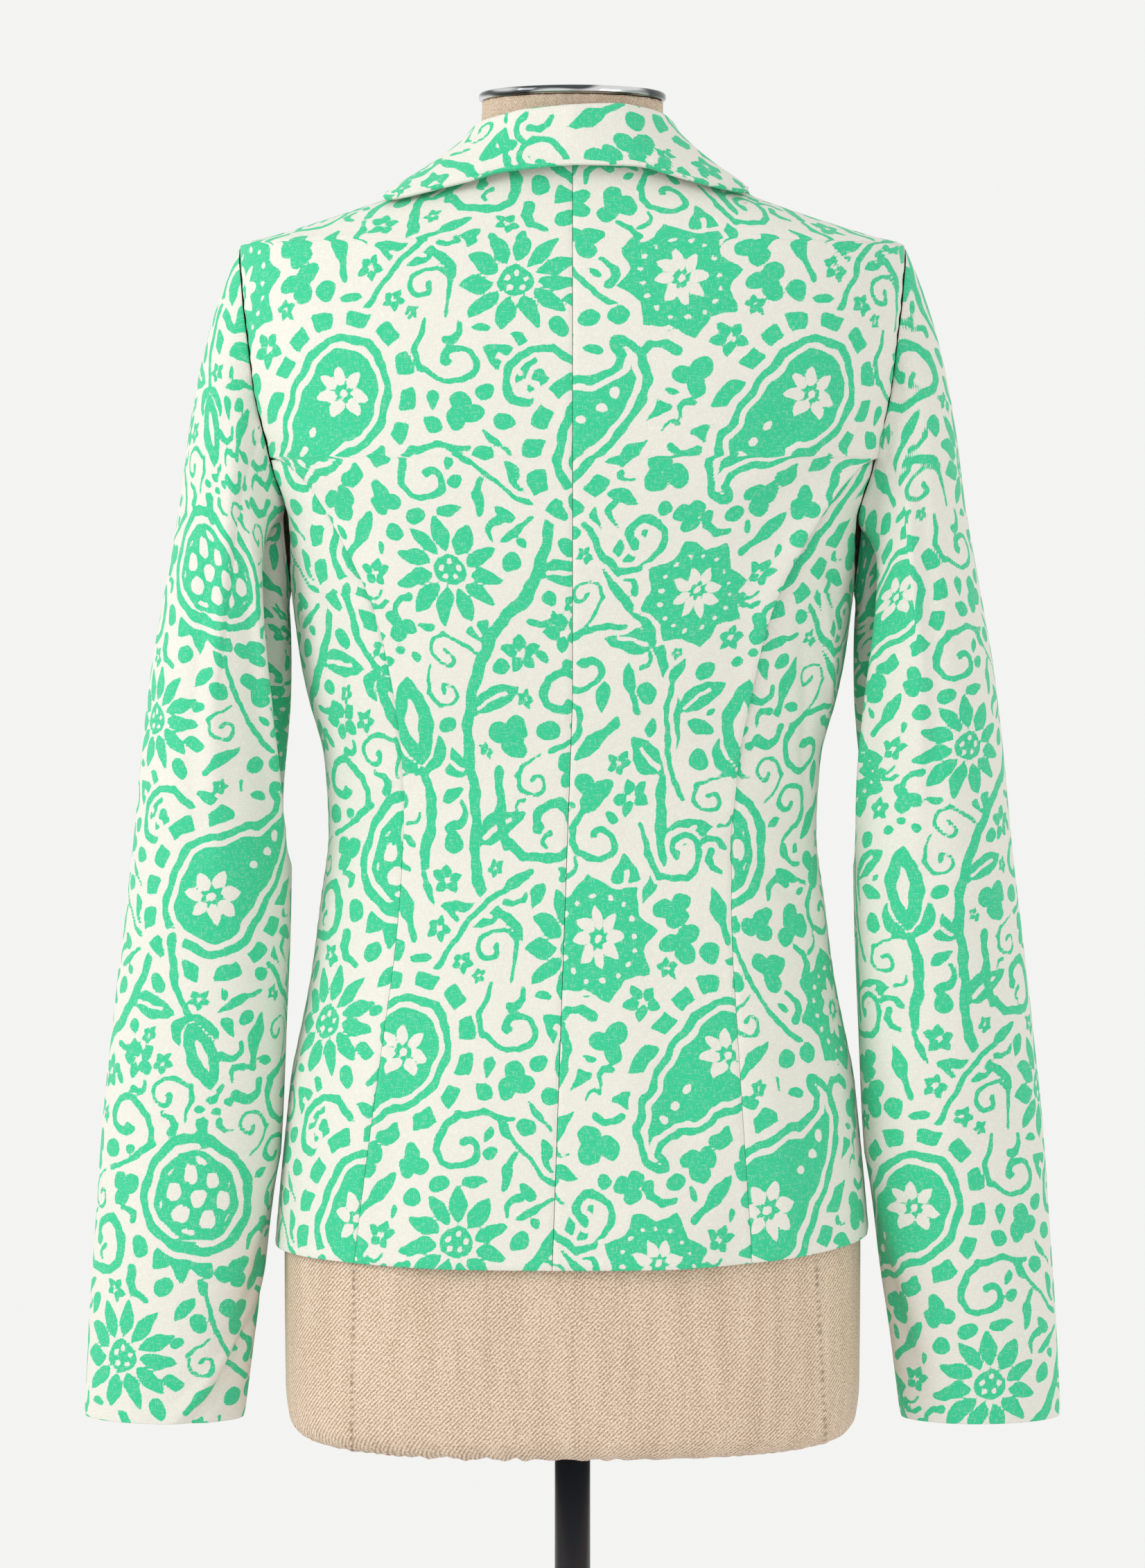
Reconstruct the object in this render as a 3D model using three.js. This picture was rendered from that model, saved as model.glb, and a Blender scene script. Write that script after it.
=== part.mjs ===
// A fitted women's blazer on a limbless dress form with a pole and a round base.
// Millimetres, +Z up. The origin is on the floor under the pole; the front of the blazer faces -Y
// and its left side, as worn, is +X.
// The body of the blazer is one surface: level sections, each a rounded oval given by its half width,
// its depth behind and its depth in front. Every panel is a strip of that surface between two seams.
import * as THREE from "three";

// Driving dimensions
const CLOTH = 2;
const SEAM_GAP = 0.3;
const SECTION_POWER = 2.5;
const HEM_HEIGHT = 806;
const HEM_LIFT_LEFT = 2.5;
const HEM_LIFT_RIGHT = 9;
const HEM_LIFT_FADE = 110;
const UNDERARM_HEIGHT = 1172;
const SHOULDER_HEIGHT = 1365;
const NECK_HEIGHT = 1407;
const ARMHOLE_BACK = 44;
const ARMHOLE_FRONT = 52;
const ARMHOLE_ROUNDNESS = 1.15;
const PRINCESS_TOP = 1247;
const PRINCESS_TIP_ROWS = [9, 2.5];
const SHOULDER_ROWS = [1370, 1378, 1386, 1394, 1401];
const CENTRE_DRIFT = 11;
const CENTRE_DRIFT_TOP = 1115;

// Front edge, roll line and button
const FRONT_OVERLAP = 12;
const UNDER_INSET = 3.4;
const UNDER_INSET_X = { full: 14, none: 50 };
const UNDER_INSET_Z = { full: 1131, none: 1190 };
const BREAK_HEIGHT = 1085;
const ROLL_TOP_X = 72;
const HEM_CORNER = 30;
const BUTTON = { height: 1062, radius: 10, thick: 3.6, hole: 0.9, hole_offset: 1.56 };

// Counts of rows and columns
const BODY_ROWS = 12;
const ARMHOLE_ROWS = 14;
const BACK_COLUMNS = 8;
const SIDE_COLUMNS = 4;
const FRONT_COLUMNS = 9;
const SLEEVE_COLUMNS = 2 * ARMHOLE_ROWS;
const FORM_COLUMNS = 24;
const COLLAR_ROWS = 26;
const LAPEL_ROWS = 10;
const FOLD_STEPS = { stand: 2, arc: 3, fall: 4 };
const ROUND_STEPS = { cap: 48, base: 48, flange: 36, pole: 32, button: 12 };

// Stand
const POLE_RADIUS = 10;
const FLANGE = { radius: 42, thick: 8 };
const BASE = { radius: 165, thick: 9, boss_radius: 24, boss_height: 30, edge: 3 };
const CAP = { radius: 52, top: 1450, thick: 4.4, rim: 1.8 };
const FORM_BOTTOM = 700;

// Level sections of the blazer's outer face, hem to neck
const BLAZER_SECTIONS = [
  { height: 780, half_width: 169.5, back: 103, front: 106 },
  { height: 806, half_width: 167, back: 102, front: 106 },
  { height: 845, half_width: 163.5, back: 99, front: 105 },
  { height: 880, half_width: 160, back: 95, front: 104 },
  { height: 903, half_width: 157.5, back: 91, front: 103 },
  { height: 923, half_width: 153.5, back: 87, front: 101 },
  { height: 942, half_width: 149.5, back: 83, front: 100 },
  { height: 961, half_width: 146, back: 79, front: 99 },
  { height: 1000, half_width: 141, back: 73, front: 97 },
  { height: 1039, half_width: 136.4, back: 69, front: 97 },
  { height: 1078, half_width: 138.5, back: 71, front: 102 },
  { height: 1116, half_width: 148, back: 78, front: 113 },
  { height: 1136, half_width: 152, back: 82, front: 119 },
  { height: 1174, half_width: 157, back: 89, front: 124 },
  { height: 1210, half_width: 162, back: 94, front: 124 },
  { height: 1245, half_width: 175.5, back: 97, front: 118 },
  { height: 1290, half_width: 186.5, back: 95, front: 107 },
  { height: 1326, half_width: 188, back: 88, front: 96 },
  { height: 1349, half_width: 186.4, back: 81, front: 87 },
  { height: 1365, half_width: 184.5, back: 76, front: 79 },
  { height: 1370, half_width: 167.5, back: 74.5, front: 77 },
  { height: 1381.5, half_width: 130.5, back: 70.9, front: 73 },
  { height: 1392.5, half_width: 100, back: 67, front: 69 },
  { height: 1408, half_width: 70, back: 61, front: 63 },
];

// Level sections of the dress form, which stays clear inside the blazer
const FORM_SECTIONS = [
  { height: 700, half_width: 145, back: 86, front: 88, power: 2.5 },
  { height: 704, half_width: 154, back: 94, front: 96, power: 2.5 },
  { height: 712, half_width: 159, back: 98, front: 100, power: 2.5 },
  { height: 730, half_width: 161, back: 99, front: 101, power: 2.5 },
  { height: 806, half_width: 161.5, back: 96.5, front: 99, power: 2.5 },
  { height: 845, half_width: 159.5, back: 93, front: 98, power: 2.5 },
  { height: 903, half_width: 152.5, back: 85, front: 96, power: 2.5 },
  { height: 961, half_width: 140, back: 73, front: 92, power: 2.5 },
  { height: 1000, half_width: 135, back: 67, front: 90, power: 2.5 },
  { height: 1039, half_width: 130, back: 63, front: 89, power: 2.5 },
  { height: 1078, half_width: 132, back: 65, front: 94, power: 2.5 },
  { height: 1116, half_width: 141.5, back: 72, front: 105, power: 2.5 },
  { height: 1174, half_width: 150, back: 83, front: 116.5, power: 2.5 },
  { height: 1210, half_width: 154, back: 88, front: 117, power: 2.5 },
  { height: 1245, half_width: 162, back: 91, front: 111, power: 2.5 },
  { height: 1290, half_width: 170, back: 89, front: 100, power: 2.5 },
  { height: 1326, half_width: 173, back: 81, front: 89, power: 2.5 },
  { height: 1345, half_width: 172, back: 76, front: 82, power: 2.5 },
  { height: 1357, half_width: 169, back: 72.5, front: 77, power: 2.5 },
  { height: 1365, half_width: 164, back: 70.5, front: 74, power: 2.5 },
  { height: 1369.4, half_width: 156, back: 69.6, front: 72.6, power: 2.5 },
  { height: 1373.9, half_width: 145.5, back: 68.6, front: 71.4, power: 2.5 },
  { height: 1381.6, half_width: 122.4, back: 65.8, front: 68.3, power: 2.5 },
  { height: 1391.4, half_width: 97, back: 62.6, front: 64.6, power: 2.5 },
  { height: 1398.8, half_width: 77.5, back: 59, front: 60.5, power: 2.4 },
  { height: 1407, half_width: 60, back: 54.5, front: 54.5, power: 2.2 },
  { height: 1420, half_width: 52, back: 51, front: 51, power: 2 },
  { height: 1445, half_width: 50, back: 50, front: 50, power: 2 },
];

// Distance of the back princess seam from the centre back seam
const PRINCESS_SEAM = [
  { height: 780, out: 111 },
  { height: 811, out: 109 },
  { height: 867, out: 103 },
  { height: 934, out: 96.5 },
  { height: 985, out: 92 },
  { height: 1035, out: 90 },
  { height: 1078, out: 92 },
  { height: 1122, out: 98.5 },
  { height: 1163, out: 108 },
  { height: 1193, out: 121 },
  { height: 1220, out: 137 },
  { height: 1238, out: 152 },
  { height: 1247, out: 163.5 },
];

// Soft folds of the body, as waves across the surface: where round the body (radians from centre back,
// the blazer's left side positive), from which height to which, how wide and how deep
const BODY_FOLDS = [
  { angle: -0.28, low: 780, high: 905, width: 0.12, depth: 3.2 },
  { angle: -0.5, low: 780, high: 880, width: 0.1, depth: -2 },
  { angle: 0.36, low: 780, high: 890, width: 0.12, depth: 2.4 },
  { angle: 0.78, low: 780, high: 900, width: 0.14, depth: -2.6 },
  { angle: -1.02, low: 1105, high: 1215, width: 0.12, depth: -2.4 },
  { angle: 1.05, low: 1110, high: 1205, width: 0.12, depth: -1.8 },
  { angle: 2.3, low: 780, high: 900, width: 0.14, depth: 2.4 },
  { angle: -2.4, low: 780, high: 890, width: 0.14, depth: 2.2 },
];

// Rings of a sleeve from the armhole to the cuff: its outer and inner points, its middle and half its depth
// front to back, and how far its back leans in towards the body
const SLEEVE_RINGS = [
  { ring: 0, outer_x: 184.5, outer_z: 1365, inner_x: 157, inner_z: 1172, middle: -4, depth: 48, lean: 0 },
  { ring: 1, outer_x: 191.5, outer_z: 1349, inner_x: 157.5, inner_z: 1170, middle: -3, depth: 50, lean: 0 },
  { ring: 2, outer_x: 199, outer_z: 1328, inner_x: 158, inner_z: 1167, middle: -2, depth: 53, lean: 0 },
  { ring: 3, outer_x: 206.5, outer_z: 1300, inner_x: 158, inner_z: 1163, middle: -1, depth: 56, lean: 0 },
  { ring: 4, outer_x: 213, outer_z: 1265, inner_x: 157.5, inner_z: 1157, middle: 0, depth: 58, lean: 0 },
  { ring: 5, outer_x: 219, outer_z: 1220, inner_x: 157, inner_z: 1148, middle: 0, depth: 59, lean: 0 },
  { ring: 6, outer_x: 226.5, outer_z: 1178, inner_x: 156.5, inner_z: 1134, middle: 0, depth: 59, lean: 0 },
  { ring: 7, outer_x: 235, outer_z: 1130, inner_x: 156, inner_z: 1108, middle: 0, depth: 58, lean: 0 },
  { ring: 8, outer_x: 240.5, outer_z: 1085, inner_x: 156, inner_z: 1076, middle: 1, depth: 56, lean: 1 },
  { ring: 9, outer_x: 245.3, outer_z: 1035, inner_x: 156.5, inner_z: 1031, middle: 2, depth: 53, lean: 3 },
  { ring: 10, outer_x: 251, outer_z: 985, inner_x: 157.5, inner_z: 985, middle: 4, depth: 49, lean: 6 },
  { ring: 11, outer_x: 257, outer_z: 930, inner_x: 160, inner_z: 930, middle: 7, depth: 45, lean: 9 },
  { ring: 12, outer_x: 262.8, outer_z: 870, inner_x: 163, inner_z: 870, middle: 9, depth: 41, lean: 11 },
  { ring: 13, outer_x: 267, outer_z: 810, inner_x: 169.6, inner_z: 810, middle: 10, depth: 38, lean: 11 },
  { ring: 14, outer_x: 271, outer_z: 760, inner_x: 177.6, inner_z: 760, middle: 8, depth: 35, lean: 8 },
  { ring: 15, outer_x: 274, outer_z: 711, inner_x: 184, inner_z: 711, middle: 5, depth: 33, lean: 5 },
];
const SLEEVE_ROWS = [0, 0.6, 1.3, 2, 3, 4, 5, 6, 7, 8, 9, 10, 11, 12, 13, 14, 15];
const SLEEVE_BLEND_RINGS = 3;
const SLEEVE_GAP = 0.45;
const SLEEVE_AXIS_X = 196;

// Folds of a sleeve: turn round the sleeve (0 at the underarm, a quarter turn at the back), moving from
// the first to the second as the height falls
const SLEEVE_FOLDS = [
  { high: 1215, high_turn: 0.78, low: 1040, low_turn: -0.2, width: 0.27, depth: -11 },
  { high: 1215, high_turn: 1.15, low: 1040, low_turn: 0.2, width: 0.22, depth: 3 },
  { high: 860, high_turn: 0.2, low: 700, low_turn: 0.9, width: 0.3, depth: -5 },
  { high: 1190, high_turn: -1.1, low: 1010, low_turn: -0.5, width: 0.3, depth: -6 },
];

// Collar, centre back to gorge end: the neck seam on the body, the roll line in space, the outer edge
// as a place on the body and its lift off it
const COLLAR_GUIDES = [
  { along: 0, seam_angle: 0, seam_z: 1407, roll_x: 0, roll_y: 57.5, roll_z: 1437,
    edge_angle: 0, edge_z: 1401.8, lift: 9, radius: 3, ease: 0.4 },
  { along: 0.145, seam_angle: 0.278, seam_z: 1407, roll_x: 24, roll_y: 52, roll_z: 1436.2,
    edge_angle: 0.35, edge_z: 1398.8, lift: 8.5, radius: 3, ease: 0.4 },
  { along: 0.2, seam_angle: 0.414, seam_z: 1407, roll_x: 31.8, roll_y: 47.2, roll_z: 1434.6,
    edge_angle: 0.49, edge_z: 1394.6, lift: 7.5, radius: 3, ease: 0.38 },
  { along: 0.27, seam_angle: 0.596, seam_z: 1407, roll_x: 40, roll_y: 39.8, roll_z: 1432.8,
    edge_angle: 0.65, edge_z: 1390.2, lift: 6, radius: 2.8, ease: 0.32 },
  { along: 0.32, seam_angle: 0.731, seam_z: 1407, roll_x: 45, roll_y: 33, roll_z: 1431.5,
    edge_angle: 0.77, edge_z: 1387.6, lift: 5, radius: 2.7, ease: 0.26 },
  { along: 0.37, seam_angle: 0.865, seam_z: 1407, roll_x: 49, roll_y: 25.5, roll_z: 1429.2,
    edge_angle: 0.9, edge_z: 1386.6, lift: 4.2, radius: 2.6, ease: 0.22 },
  { along: 0.46, seam_angle: 1.136, seam_z: 1407, roll_x: 53, roll_y: 12, roll_z: 1423.5,
    edge_angle: 1.2, edge_z: 1391, lift: 3.2, radius: 2.5, ease: 0.18 },
  { along: 0.54, seam_angle: 1.571, seam_z: 1407, roll_x: 54, roll_y: 0, roll_z: 1419,
    edge_angle: 1.571, edge_z: 1393.8, lift: 2.8, radius: 2.5, ease: 0.18 },
  { along: 0.68, seam_angle: 1.866, seam_z: 1407, roll_x: 56, roll_y: -25, roll_z: 1414.5,
    edge_angle: 2.05, edge_z: 1388, lift: 4, radius: 2.6, ease: 0.16 },
  { along: 0.8, seam_angle: 2.4, seam_z: 1399, roll_x: 60.5, roll_y: -53, roll_z: 1407,
    edge_angle: 2.4, edge_z: 1375, lift: 5, radius: 2.8, ease: 0.1 },
  { along: 0.91, seam_angle: 2.788, seam_z: 1378, roll_x: 58, roll_y: -74, roll_z: 1383.5,
    edge_angle: 2.637, edge_z: 1354, lift: 4.8, radius: 2.6, ease: 0.06 },
  { along: 1, seam_angle: 2.9, seam_z: 1356.5, roll_x: 54, roll_y: -84, roll_z: 1358.5,
    edge_angle: 2.755, edge_z: 1336, lift: 4, radius: 2.4, ease: 0.05 },
];
const COLLAR_SEAM_LIFT = 1.4;

// The collar sits lower on the left side and higher on the right one
const COLLAR_TILT = { height: 2.2, end: 0.57 };

// Lapel, break point to gorge: height on the roll line, the outer edge as seen from the front, and how
// much the fall bulges over the fold
const LAPEL_GUIDES = [
  { along: 0, roll_z: 1092, edge_x: -4, edge_z: 1091, ease: 0.25 },
  { along: 0.12, roll_z: 1122, edge_x: 13, edge_z: 1117, ease: 0.25 },
  { along: 0.28, roll_z: 1160, edge_x: 33, edge_z: 1154, ease: 0.25 },
  { along: 0.46, roll_z: 1205, edge_x: 55, edge_z: 1198, ease: 0.25 },
  { along: 0.64, roll_z: 1250, edge_x: 75, edge_z: 1243, ease: 0.25 },
  { along: 0.82, roll_z: 1300, edge_x: 91, edge_z: 1284, ease: 0.25 },
  { along: 1, roll_z: 1351.5, edge_x: 101, edge_z: 1318, ease: 0.25 },
];

// The left lapel ends on a slant beside the fold of the right one, which crosses over it
const LEFT_LAPEL_GUIDES = [
  { along: 0, roll_z: 1154, edge_x: 14, edge_z: 1116, ease: 0.04 },
  { along: 0.12, roll_z: 1161, edge_x: 23, edge_z: 1134, ease: 0.12 },
  { along: 0.28, roll_z: 1177, edge_x: 39, edge_z: 1165, ease: 0.25 },
  ...LAPEL_GUIDES.slice(3),
];
const LAPEL_LIFT = 3.6;
const LAPEL_RADIUS = 2.4;
const LAPEL_TURN = 3;
const LAPEL_AHEAD = 5;
const LAPEL_SEAM_GAP = 0.9;

// Colours and finishes
const MATERIALS = {
  print: new THREE.MeshStandardMaterial({ color: 0x9be0bd, roughness: 0.75, metalness: 0 }),
  linen: new THREE.MeshStandardMaterial({ color: 0xcdb091, roughness: 0.9, metalness: 0 }),
  chrome: new THREE.MeshStandardMaterial({ color: 0xd8dadc, roughness: 0.12, metalness: 1 }),
  black_steel: new THREE.MeshStandardMaterial({ color: 0x1d2024, roughness: 0.45, metalness: 0.4 }),
  button: new THREE.MeshStandardMaterial({ color: 0xe9e3d2, roughness: 0.35, metalness: 0 }),
};

// Slopes that let a cubic pass through every value without swinging past it
function easySlopes(places, values) {
  const steps = places.slice(1).map((place, i) => place - places[i]);
  const rises = steps.map((step, i) => (values[i + 1] - values[i]) / step);
  return places.map((_, i) => {
    if (i === 0) return rises[0];
    if (i === places.length - 1) return rises[i - 1];
    const before = rises[i - 1];
    const after = rises[i];
    return before * after <= 0 ? 0 : (2 * before * after) / (before + after);
  });
}

// A table with named columns as a smooth function of its key column
function smoothTable(rows, key) {
  const places = rows.map((row) => row[key]);
  const columns = Object.keys(rows[0]).filter((name) => name !== key);
  const slopes = {};
  for (const name of columns) slopes[name] = easySlopes(places, rows.map((row) => row[name]));
  return (place) => {
    const inside = Math.min(Math.max(place, places[0]), places[places.length - 1]);
    const found = places.findIndex((value) => value > inside);
    const i = found < 0 ? places.length - 2 : found - 1;
    const step = places[i + 1] - places[i];
    const t = (inside - places[i]) / step;
    const result = {};
    for (const name of columns) {
      result[name] =
        rows[i][name] * (1 + 2 * t) * (1 - t) ** 2 +
        rows[i + 1][name] * t * t * (3 - 2 * t) +
        step * (slopes[name][i] * t * (1 - t) ** 2 + slopes[name][i + 1] * t * t * (t - 1));
    }
    return result;
  };
}

function smoothStep(value, from, to) {
  const t = Math.min(Math.max((value - from) / (to - from), 0), 1);
  return t * t * (3 - 2 * t);
}

function spaced(from, to, steps) {
  return Array.from({ length: steps + 1 }, (_, i) => from + ((to - from) * i) / steps);
}

const signedPower = (value, power) => Math.sign(value) * Math.abs(value) ** power;
const bell = (value) => Math.exp(-value * value);

const blazerSection = smoothTable(BLAZER_SECTIONS, "height");
const formSection = smoothTable(FORM_SECTIONS, "height");
const princessSeam = smoothTable(PRINCESS_SEAM, "height");
const sleeveRing = smoothTable(SLEEVE_RINGS, "ring");
const collarGuide = smoothTable(COLLAR_GUIDES, "along");
const rightLapelGuide = smoothTable(LAPEL_GUIDES, "along");
const leftLapelGuide = smoothTable(LEFT_LAPEL_GUIDES, "along");

// A point of a level oval: half width times the sine, depth times the cosine, both to a power
function ovalPoint(section, angle, height, power) {
  const sine = Math.sin(angle);
  const cosine = Math.cos(angle);
  const depth = cosine > 0 ? section.back : section.front;
  return new THREE.Vector3(
    section.half_width * signedPower(sine, 2 / power),
    depth * signedPower(cosine, 2 / power),
    height,
  );
}

// Small steps for directions on the body, in radians and millimetres
const ANGLE_STEP = 1e-3;
const HEIGHT_STEP = 0.5;

const smoothBody = (angle, height) => ovalPoint(blazerSection(height), angle, height, SECTION_POWER);

// Outward direction of the body: the rise along the height crossed with the step round the body
function bodyNormal(angle, height) {
  const round = smoothBody(angle + ANGLE_STEP, height).sub(smoothBody(angle - ANGLE_STEP, height));
  const rise = smoothBody(angle, height + HEIGHT_STEP).sub(smoothBody(angle, height - HEIGHT_STEP));
  return rise.cross(round).normalize();
}

// Sum of the soft folds, each a bell across its width and a half sine along its height
function bodyFold(angle, height) {
  let sum = 0;
  for (const fold of BODY_FOLDS) {
    const along = (fold.high - height) / (fold.high - fold.low);
    if (along <= 0 || along >= 1) continue;
    const fromHem = fold.low < HEM_HEIGHT;
    const strength = fromHem ? smoothStep(along, 0, 0.8) : Math.sin(Math.PI * along) ** 2;
    sum += fold.depth * strength * bell((angle - fold.angle) / fold.width);
  }
  return sum;
}

function hemLift(angle, height) {
  const lift = angle > 0 ? HEM_LIFT_LEFT : HEM_LIFT_RIGHT;
  const fade = 1 - smoothStep(height, HEM_HEIGHT, HEM_HEIGHT + HEM_LIFT_FADE);
  return lift * Math.sin(angle) ** 2 * fade;
}

// A point on the outer face of the blazer's body, folds and hem line included
function bodyPoint(angle, height) {
  const lifted = height + hemLift(angle, height);
  return smoothBody(angle, lifted).addScaledVector(bodyNormal(angle, lifted), bodyFold(angle, height));
}

// The angle at which the body has a given x, behind and in front
function backAngle(x, height) {
  const share = Math.min(Math.abs(x) / blazerSection(height).half_width, 1);
  return Math.sign(x) * Math.asin(share ** (SECTION_POWER / 2));
}

function frontAngle(side, x, height) {
  return side * Math.PI - backAngle(x, height);
}

// Centre back seam: it leans to the left side below the waist
const centreDrift = (height) => CENTRE_DRIFT * Math.min(
  Math.max((CENTRE_DRIFT_TOP - height) / (CENTRE_DRIFT_TOP - HEM_HEIGHT), 0),
  1,
);
const centreAngle = (height) => backAngle(centreDrift(height), height);
const princessAngle = (side, height) =>
  backAngle(side * princessSeam(height).out + centreDrift(height), height);

// Armhole: a rounded oval on the body, a turn from the underarm up the back to the shoulder point
const armholeMiddle = (UNDERARM_HEIGHT + SHOULDER_HEIGHT) / 2;
const armholeHalfHeight = (SHOULDER_HEIGHT - UNDERARM_HEIGHT) / 2;

function armholePoint(turn) {
  const sine = Math.sin(turn);
  const height = armholeMiddle - armholeHalfHeight * Math.cos(turn);
  const section = blazerSection(height);
  const reach = sine > 0 ? ARMHOLE_BACK : ARMHOLE_FRONT;
  const depth = sine > 0 ? section.back : section.front;
  const y = reach * signedPower(sine, ARMHOLE_ROUNDNESS);
  const share = 1 - (Math.abs(y) / depth) ** SECTION_POWER;
  return new THREE.Vector3(section.half_width * share ** (1 / SECTION_POWER), y, height);
}

// The angle on the body of the armhole's back or front edge at a height
function armholeAngle(side, behind, height) {
  const cosine = Math.min(Math.max((armholeMiddle - height) / armholeHalfHeight, -1), 1);
  const section = blazerSection(height);
  const reach = behind ? ARMHOLE_BACK : ARMHOLE_FRONT;
  const depth = behind ? section.back : section.front;
  const y = reach * Math.sqrt(1 - cosine * cosine) ** ARMHOLE_ROUNDNESS;
  const fromCentre = Math.acos((y / depth) ** (SECTION_POWER / 2));
  return side * (behind ? fromCentre : Math.PI - fromCentre);
}

// Outer limit of a panel: side seam, armhole, then shoulder seam
function outerAngle(side, behind, height) {
  if (height <= UNDERARM_HEIGHT || height >= SHOULDER_HEIGHT) return (side * Math.PI) / 2;
  return armholeAngle(side, behind, height);
}

const rollX = (height) =>
  -FRONT_OVERLAP +
  ((ROLL_TOP_X + FRONT_OVERLAP) * (height - BREAK_HEIGHT)) / (NECK_HEIGHT - BREAK_HEIGHT);

// Front edge up to the break point, with a rounded hem corner, then the roll line
function frontEdgeAngle(side, height) {
  const above = height - HEM_HEIGHT;
  let x = height > BREAK_HEIGHT ? rollX(height) : -FRONT_OVERLAP;
  if (above < HEM_CORNER) x += HEM_CORNER - Math.sqrt(HEM_CORNER ** 2 - (HEM_CORNER - above) ** 2);
  return frontAngle(side, side * x, height);
}

// The left front passes under the right one near the middle
function underInset(x, height) {
  const across = 1 - smoothStep(x, UNDER_INSET_X.full, UNDER_INSET_X.none);
  const up = 1 - smoothStep(height, UNDER_INSET_Z.full, UNDER_INSET_Z.none);
  return UNDER_INSET * across * up;
}

function frontPoint(side, angle, height) {
  const point = bodyPoint(angle, height);
  if (side > 0) point.y += underInset(point.x, height);
  return point;
}

// Shared rows, so that neighbouring panels meet point to point
const bodyHeights = [
  ...spaced(HEM_HEIGHT, UNDERARM_HEIGHT, BODY_ROWS),
  ...spaced(0, Math.PI, ARMHOLE_ROWS)
    .slice(1)
    .map((turn) => armholeMiddle - armholeHalfHeight * Math.cos(turn)),
  ...PRINCESS_TIP_ROWS.map((drop) => PRINCESS_TOP - drop),
  ...SHOULDER_ROWS,
  NECK_HEIGHT,
].sort((a, b) => a - b);

// A strip of the body between two seams, each seam half a gap short: the outer face, and the inner
// face a cloth's thickness in along the body's own normal, so that neighbours share their edges
function panelGeometry(heights, fromAngle, toAngle, columns, pointAt) {
  const outer = [];
  const inner = [];
  for (const height of heights) {
    const ends = [fromAngle(height), toAngle(height)];
    const direction = Math.sign(ends[1] - ends[0]);
    const [from, to] = ends.map((angle, i) => {
      const ahead = smoothBody(angle + ANGLE_STEP, height);
      const pace = ahead.distanceTo(smoothBody(angle - ANGLE_STEP, height)) / (2 * ANGLE_STEP);
      const halfGap = SEAM_GAP / 2 / pace;
      return angle + (i ? -1 : 1) * direction * halfGap;
    });
    const angles = spaced(from, to, columns);
    outer.push(angles.map((angle) => pointAt(angle, height)));
    inner.push(
      angles.map((angle) => pointAt(angle, height).addScaledVector(bodyNormal(angle, height), -CLOTH)),
    );
  }
  return wallBetween(outer, inner, false);
}

// Normals of a grid of points from the differences between neighbours
function gridNormals(grid, closed) {
  const last = grid.length - 1;
  return grid.map((row, i) =>
    row.map((_, j) => {
      const left = closed ? (j + row.length - 1) % row.length : Math.max(j - 1, 0);
      const right = closed ? (j + 1) % row.length : Math.min(j + 1, row.length - 1);
      const across = row[right].clone().sub(row[left]);
      const along = grid[Math.min(i + 1, last)][j].clone().sub(grid[Math.max(i - 1, 0)][j]);
      return across.cross(along).normalize();
    }),
  );
}

function signedVolume(points, faces) {
  return faces.reduce((sum, [a, b, c]) => {
    const normal = points[b].clone().cross(points[c]);
    return sum + points[a].dot(normal) / 6;
  }, 0);
}

// A geometry from points and triangles, turned round where it faces inwards
function geometryOf(points, faces) {
  const turned = signedVolume(points, faces) < 0 ? faces.map(([a, b, c]) => [a, c, b]) : faces;
  const geometry = new THREE.BufferGeometry();
  const places = points.flatMap((point) => point.toArray());
  geometry.setAttribute("position", new THREE.Float32BufferAttribute(places, 3));
  geometry.setIndex(turned.flat());
  geometry.computeVertexNormals();
  return geometry;
}

const twoTriangles = (a, b, c, d) => [[a, b, c], [a, c, d]];

// A closed wall between two grids of equal size; a closed grid joins its last column to its first
function wallBetween(first, second, closed) {
  const rows = first.length;
  const columns = first[0].length;
  const points = [...first.flat(), ...second.flat()];
  const index = (layer, i, j) => layer * rows * columns + i * columns + (j % columns);
  const cell = (layer, i, j) =>
    [[i, j], [i, j + 1], [i + 1, j + 1], [i + 1, j]].map(([row, column]) => index(layer, row, column));
  const spans = closed ? columns : columns - 1;
  const faces = [];
  for (let i = 0; i < rows - 1; i++) {
    for (let j = 0; j < spans; j++) {
      const [a, b, c, d] = cell(0, i, j);
      faces.push(...twoTriangles(a, b, c, d));
      const [e, f, g, h] = cell(1, i, j);
      faces.push(...twoTriangles(e, h, g, f));
    }
  }
  for (let j = 0; j < spans; j++) {
    faces.push(...twoTriangles(index(0, 0, j), index(1, 0, j), index(1, 0, j + 1), index(0, 0, j + 1)));
    const i = rows - 1;
    faces.push(...twoTriangles(index(0, i, j), index(0, i, j + 1), index(1, i, j + 1), index(1, i, j)));
  }
  for (let i = 0; i < rows - 1 && !closed; i++) {
    faces.push(...twoTriangles(index(0, i, 0), index(0, i + 1, 0), index(1, i + 1, 0), index(1, i, 0)));
    const j = columns - 1;
    faces.push(...twoTriangles(index(0, i, j), index(1, i, j), index(1, i + 1, j), index(0, i + 1, j)));
  }
  return geometryOf(points, faces);
}

const shifted = (grid, normals, distance) =>
  grid.map((row, i) => row.map((point, j) => point.clone().addScaledVector(normals[i][j], distance)));

function outwardNormals(grid, closed, outwardAt) {
  const normals = gridNormals(grid, closed);
  const i = Math.floor(grid.length / 2);
  const j = Math.floor(grid[0].length / 2);
  if (normals[i][j].dot(outwardAt(grid[i][j])) < 0) normals.flat().forEach((normal) => normal.negate());
  return normals;
}

function backPanel(side) {
  const limit = (height) =>
    height < PRINCESS_TOP ? princessAngle(side, height) : outerAngle(side, true, height);
  return panelGeometry(bodyHeights, centreAngle, limit, BACK_COLUMNS, bodyPoint);
}

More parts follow.
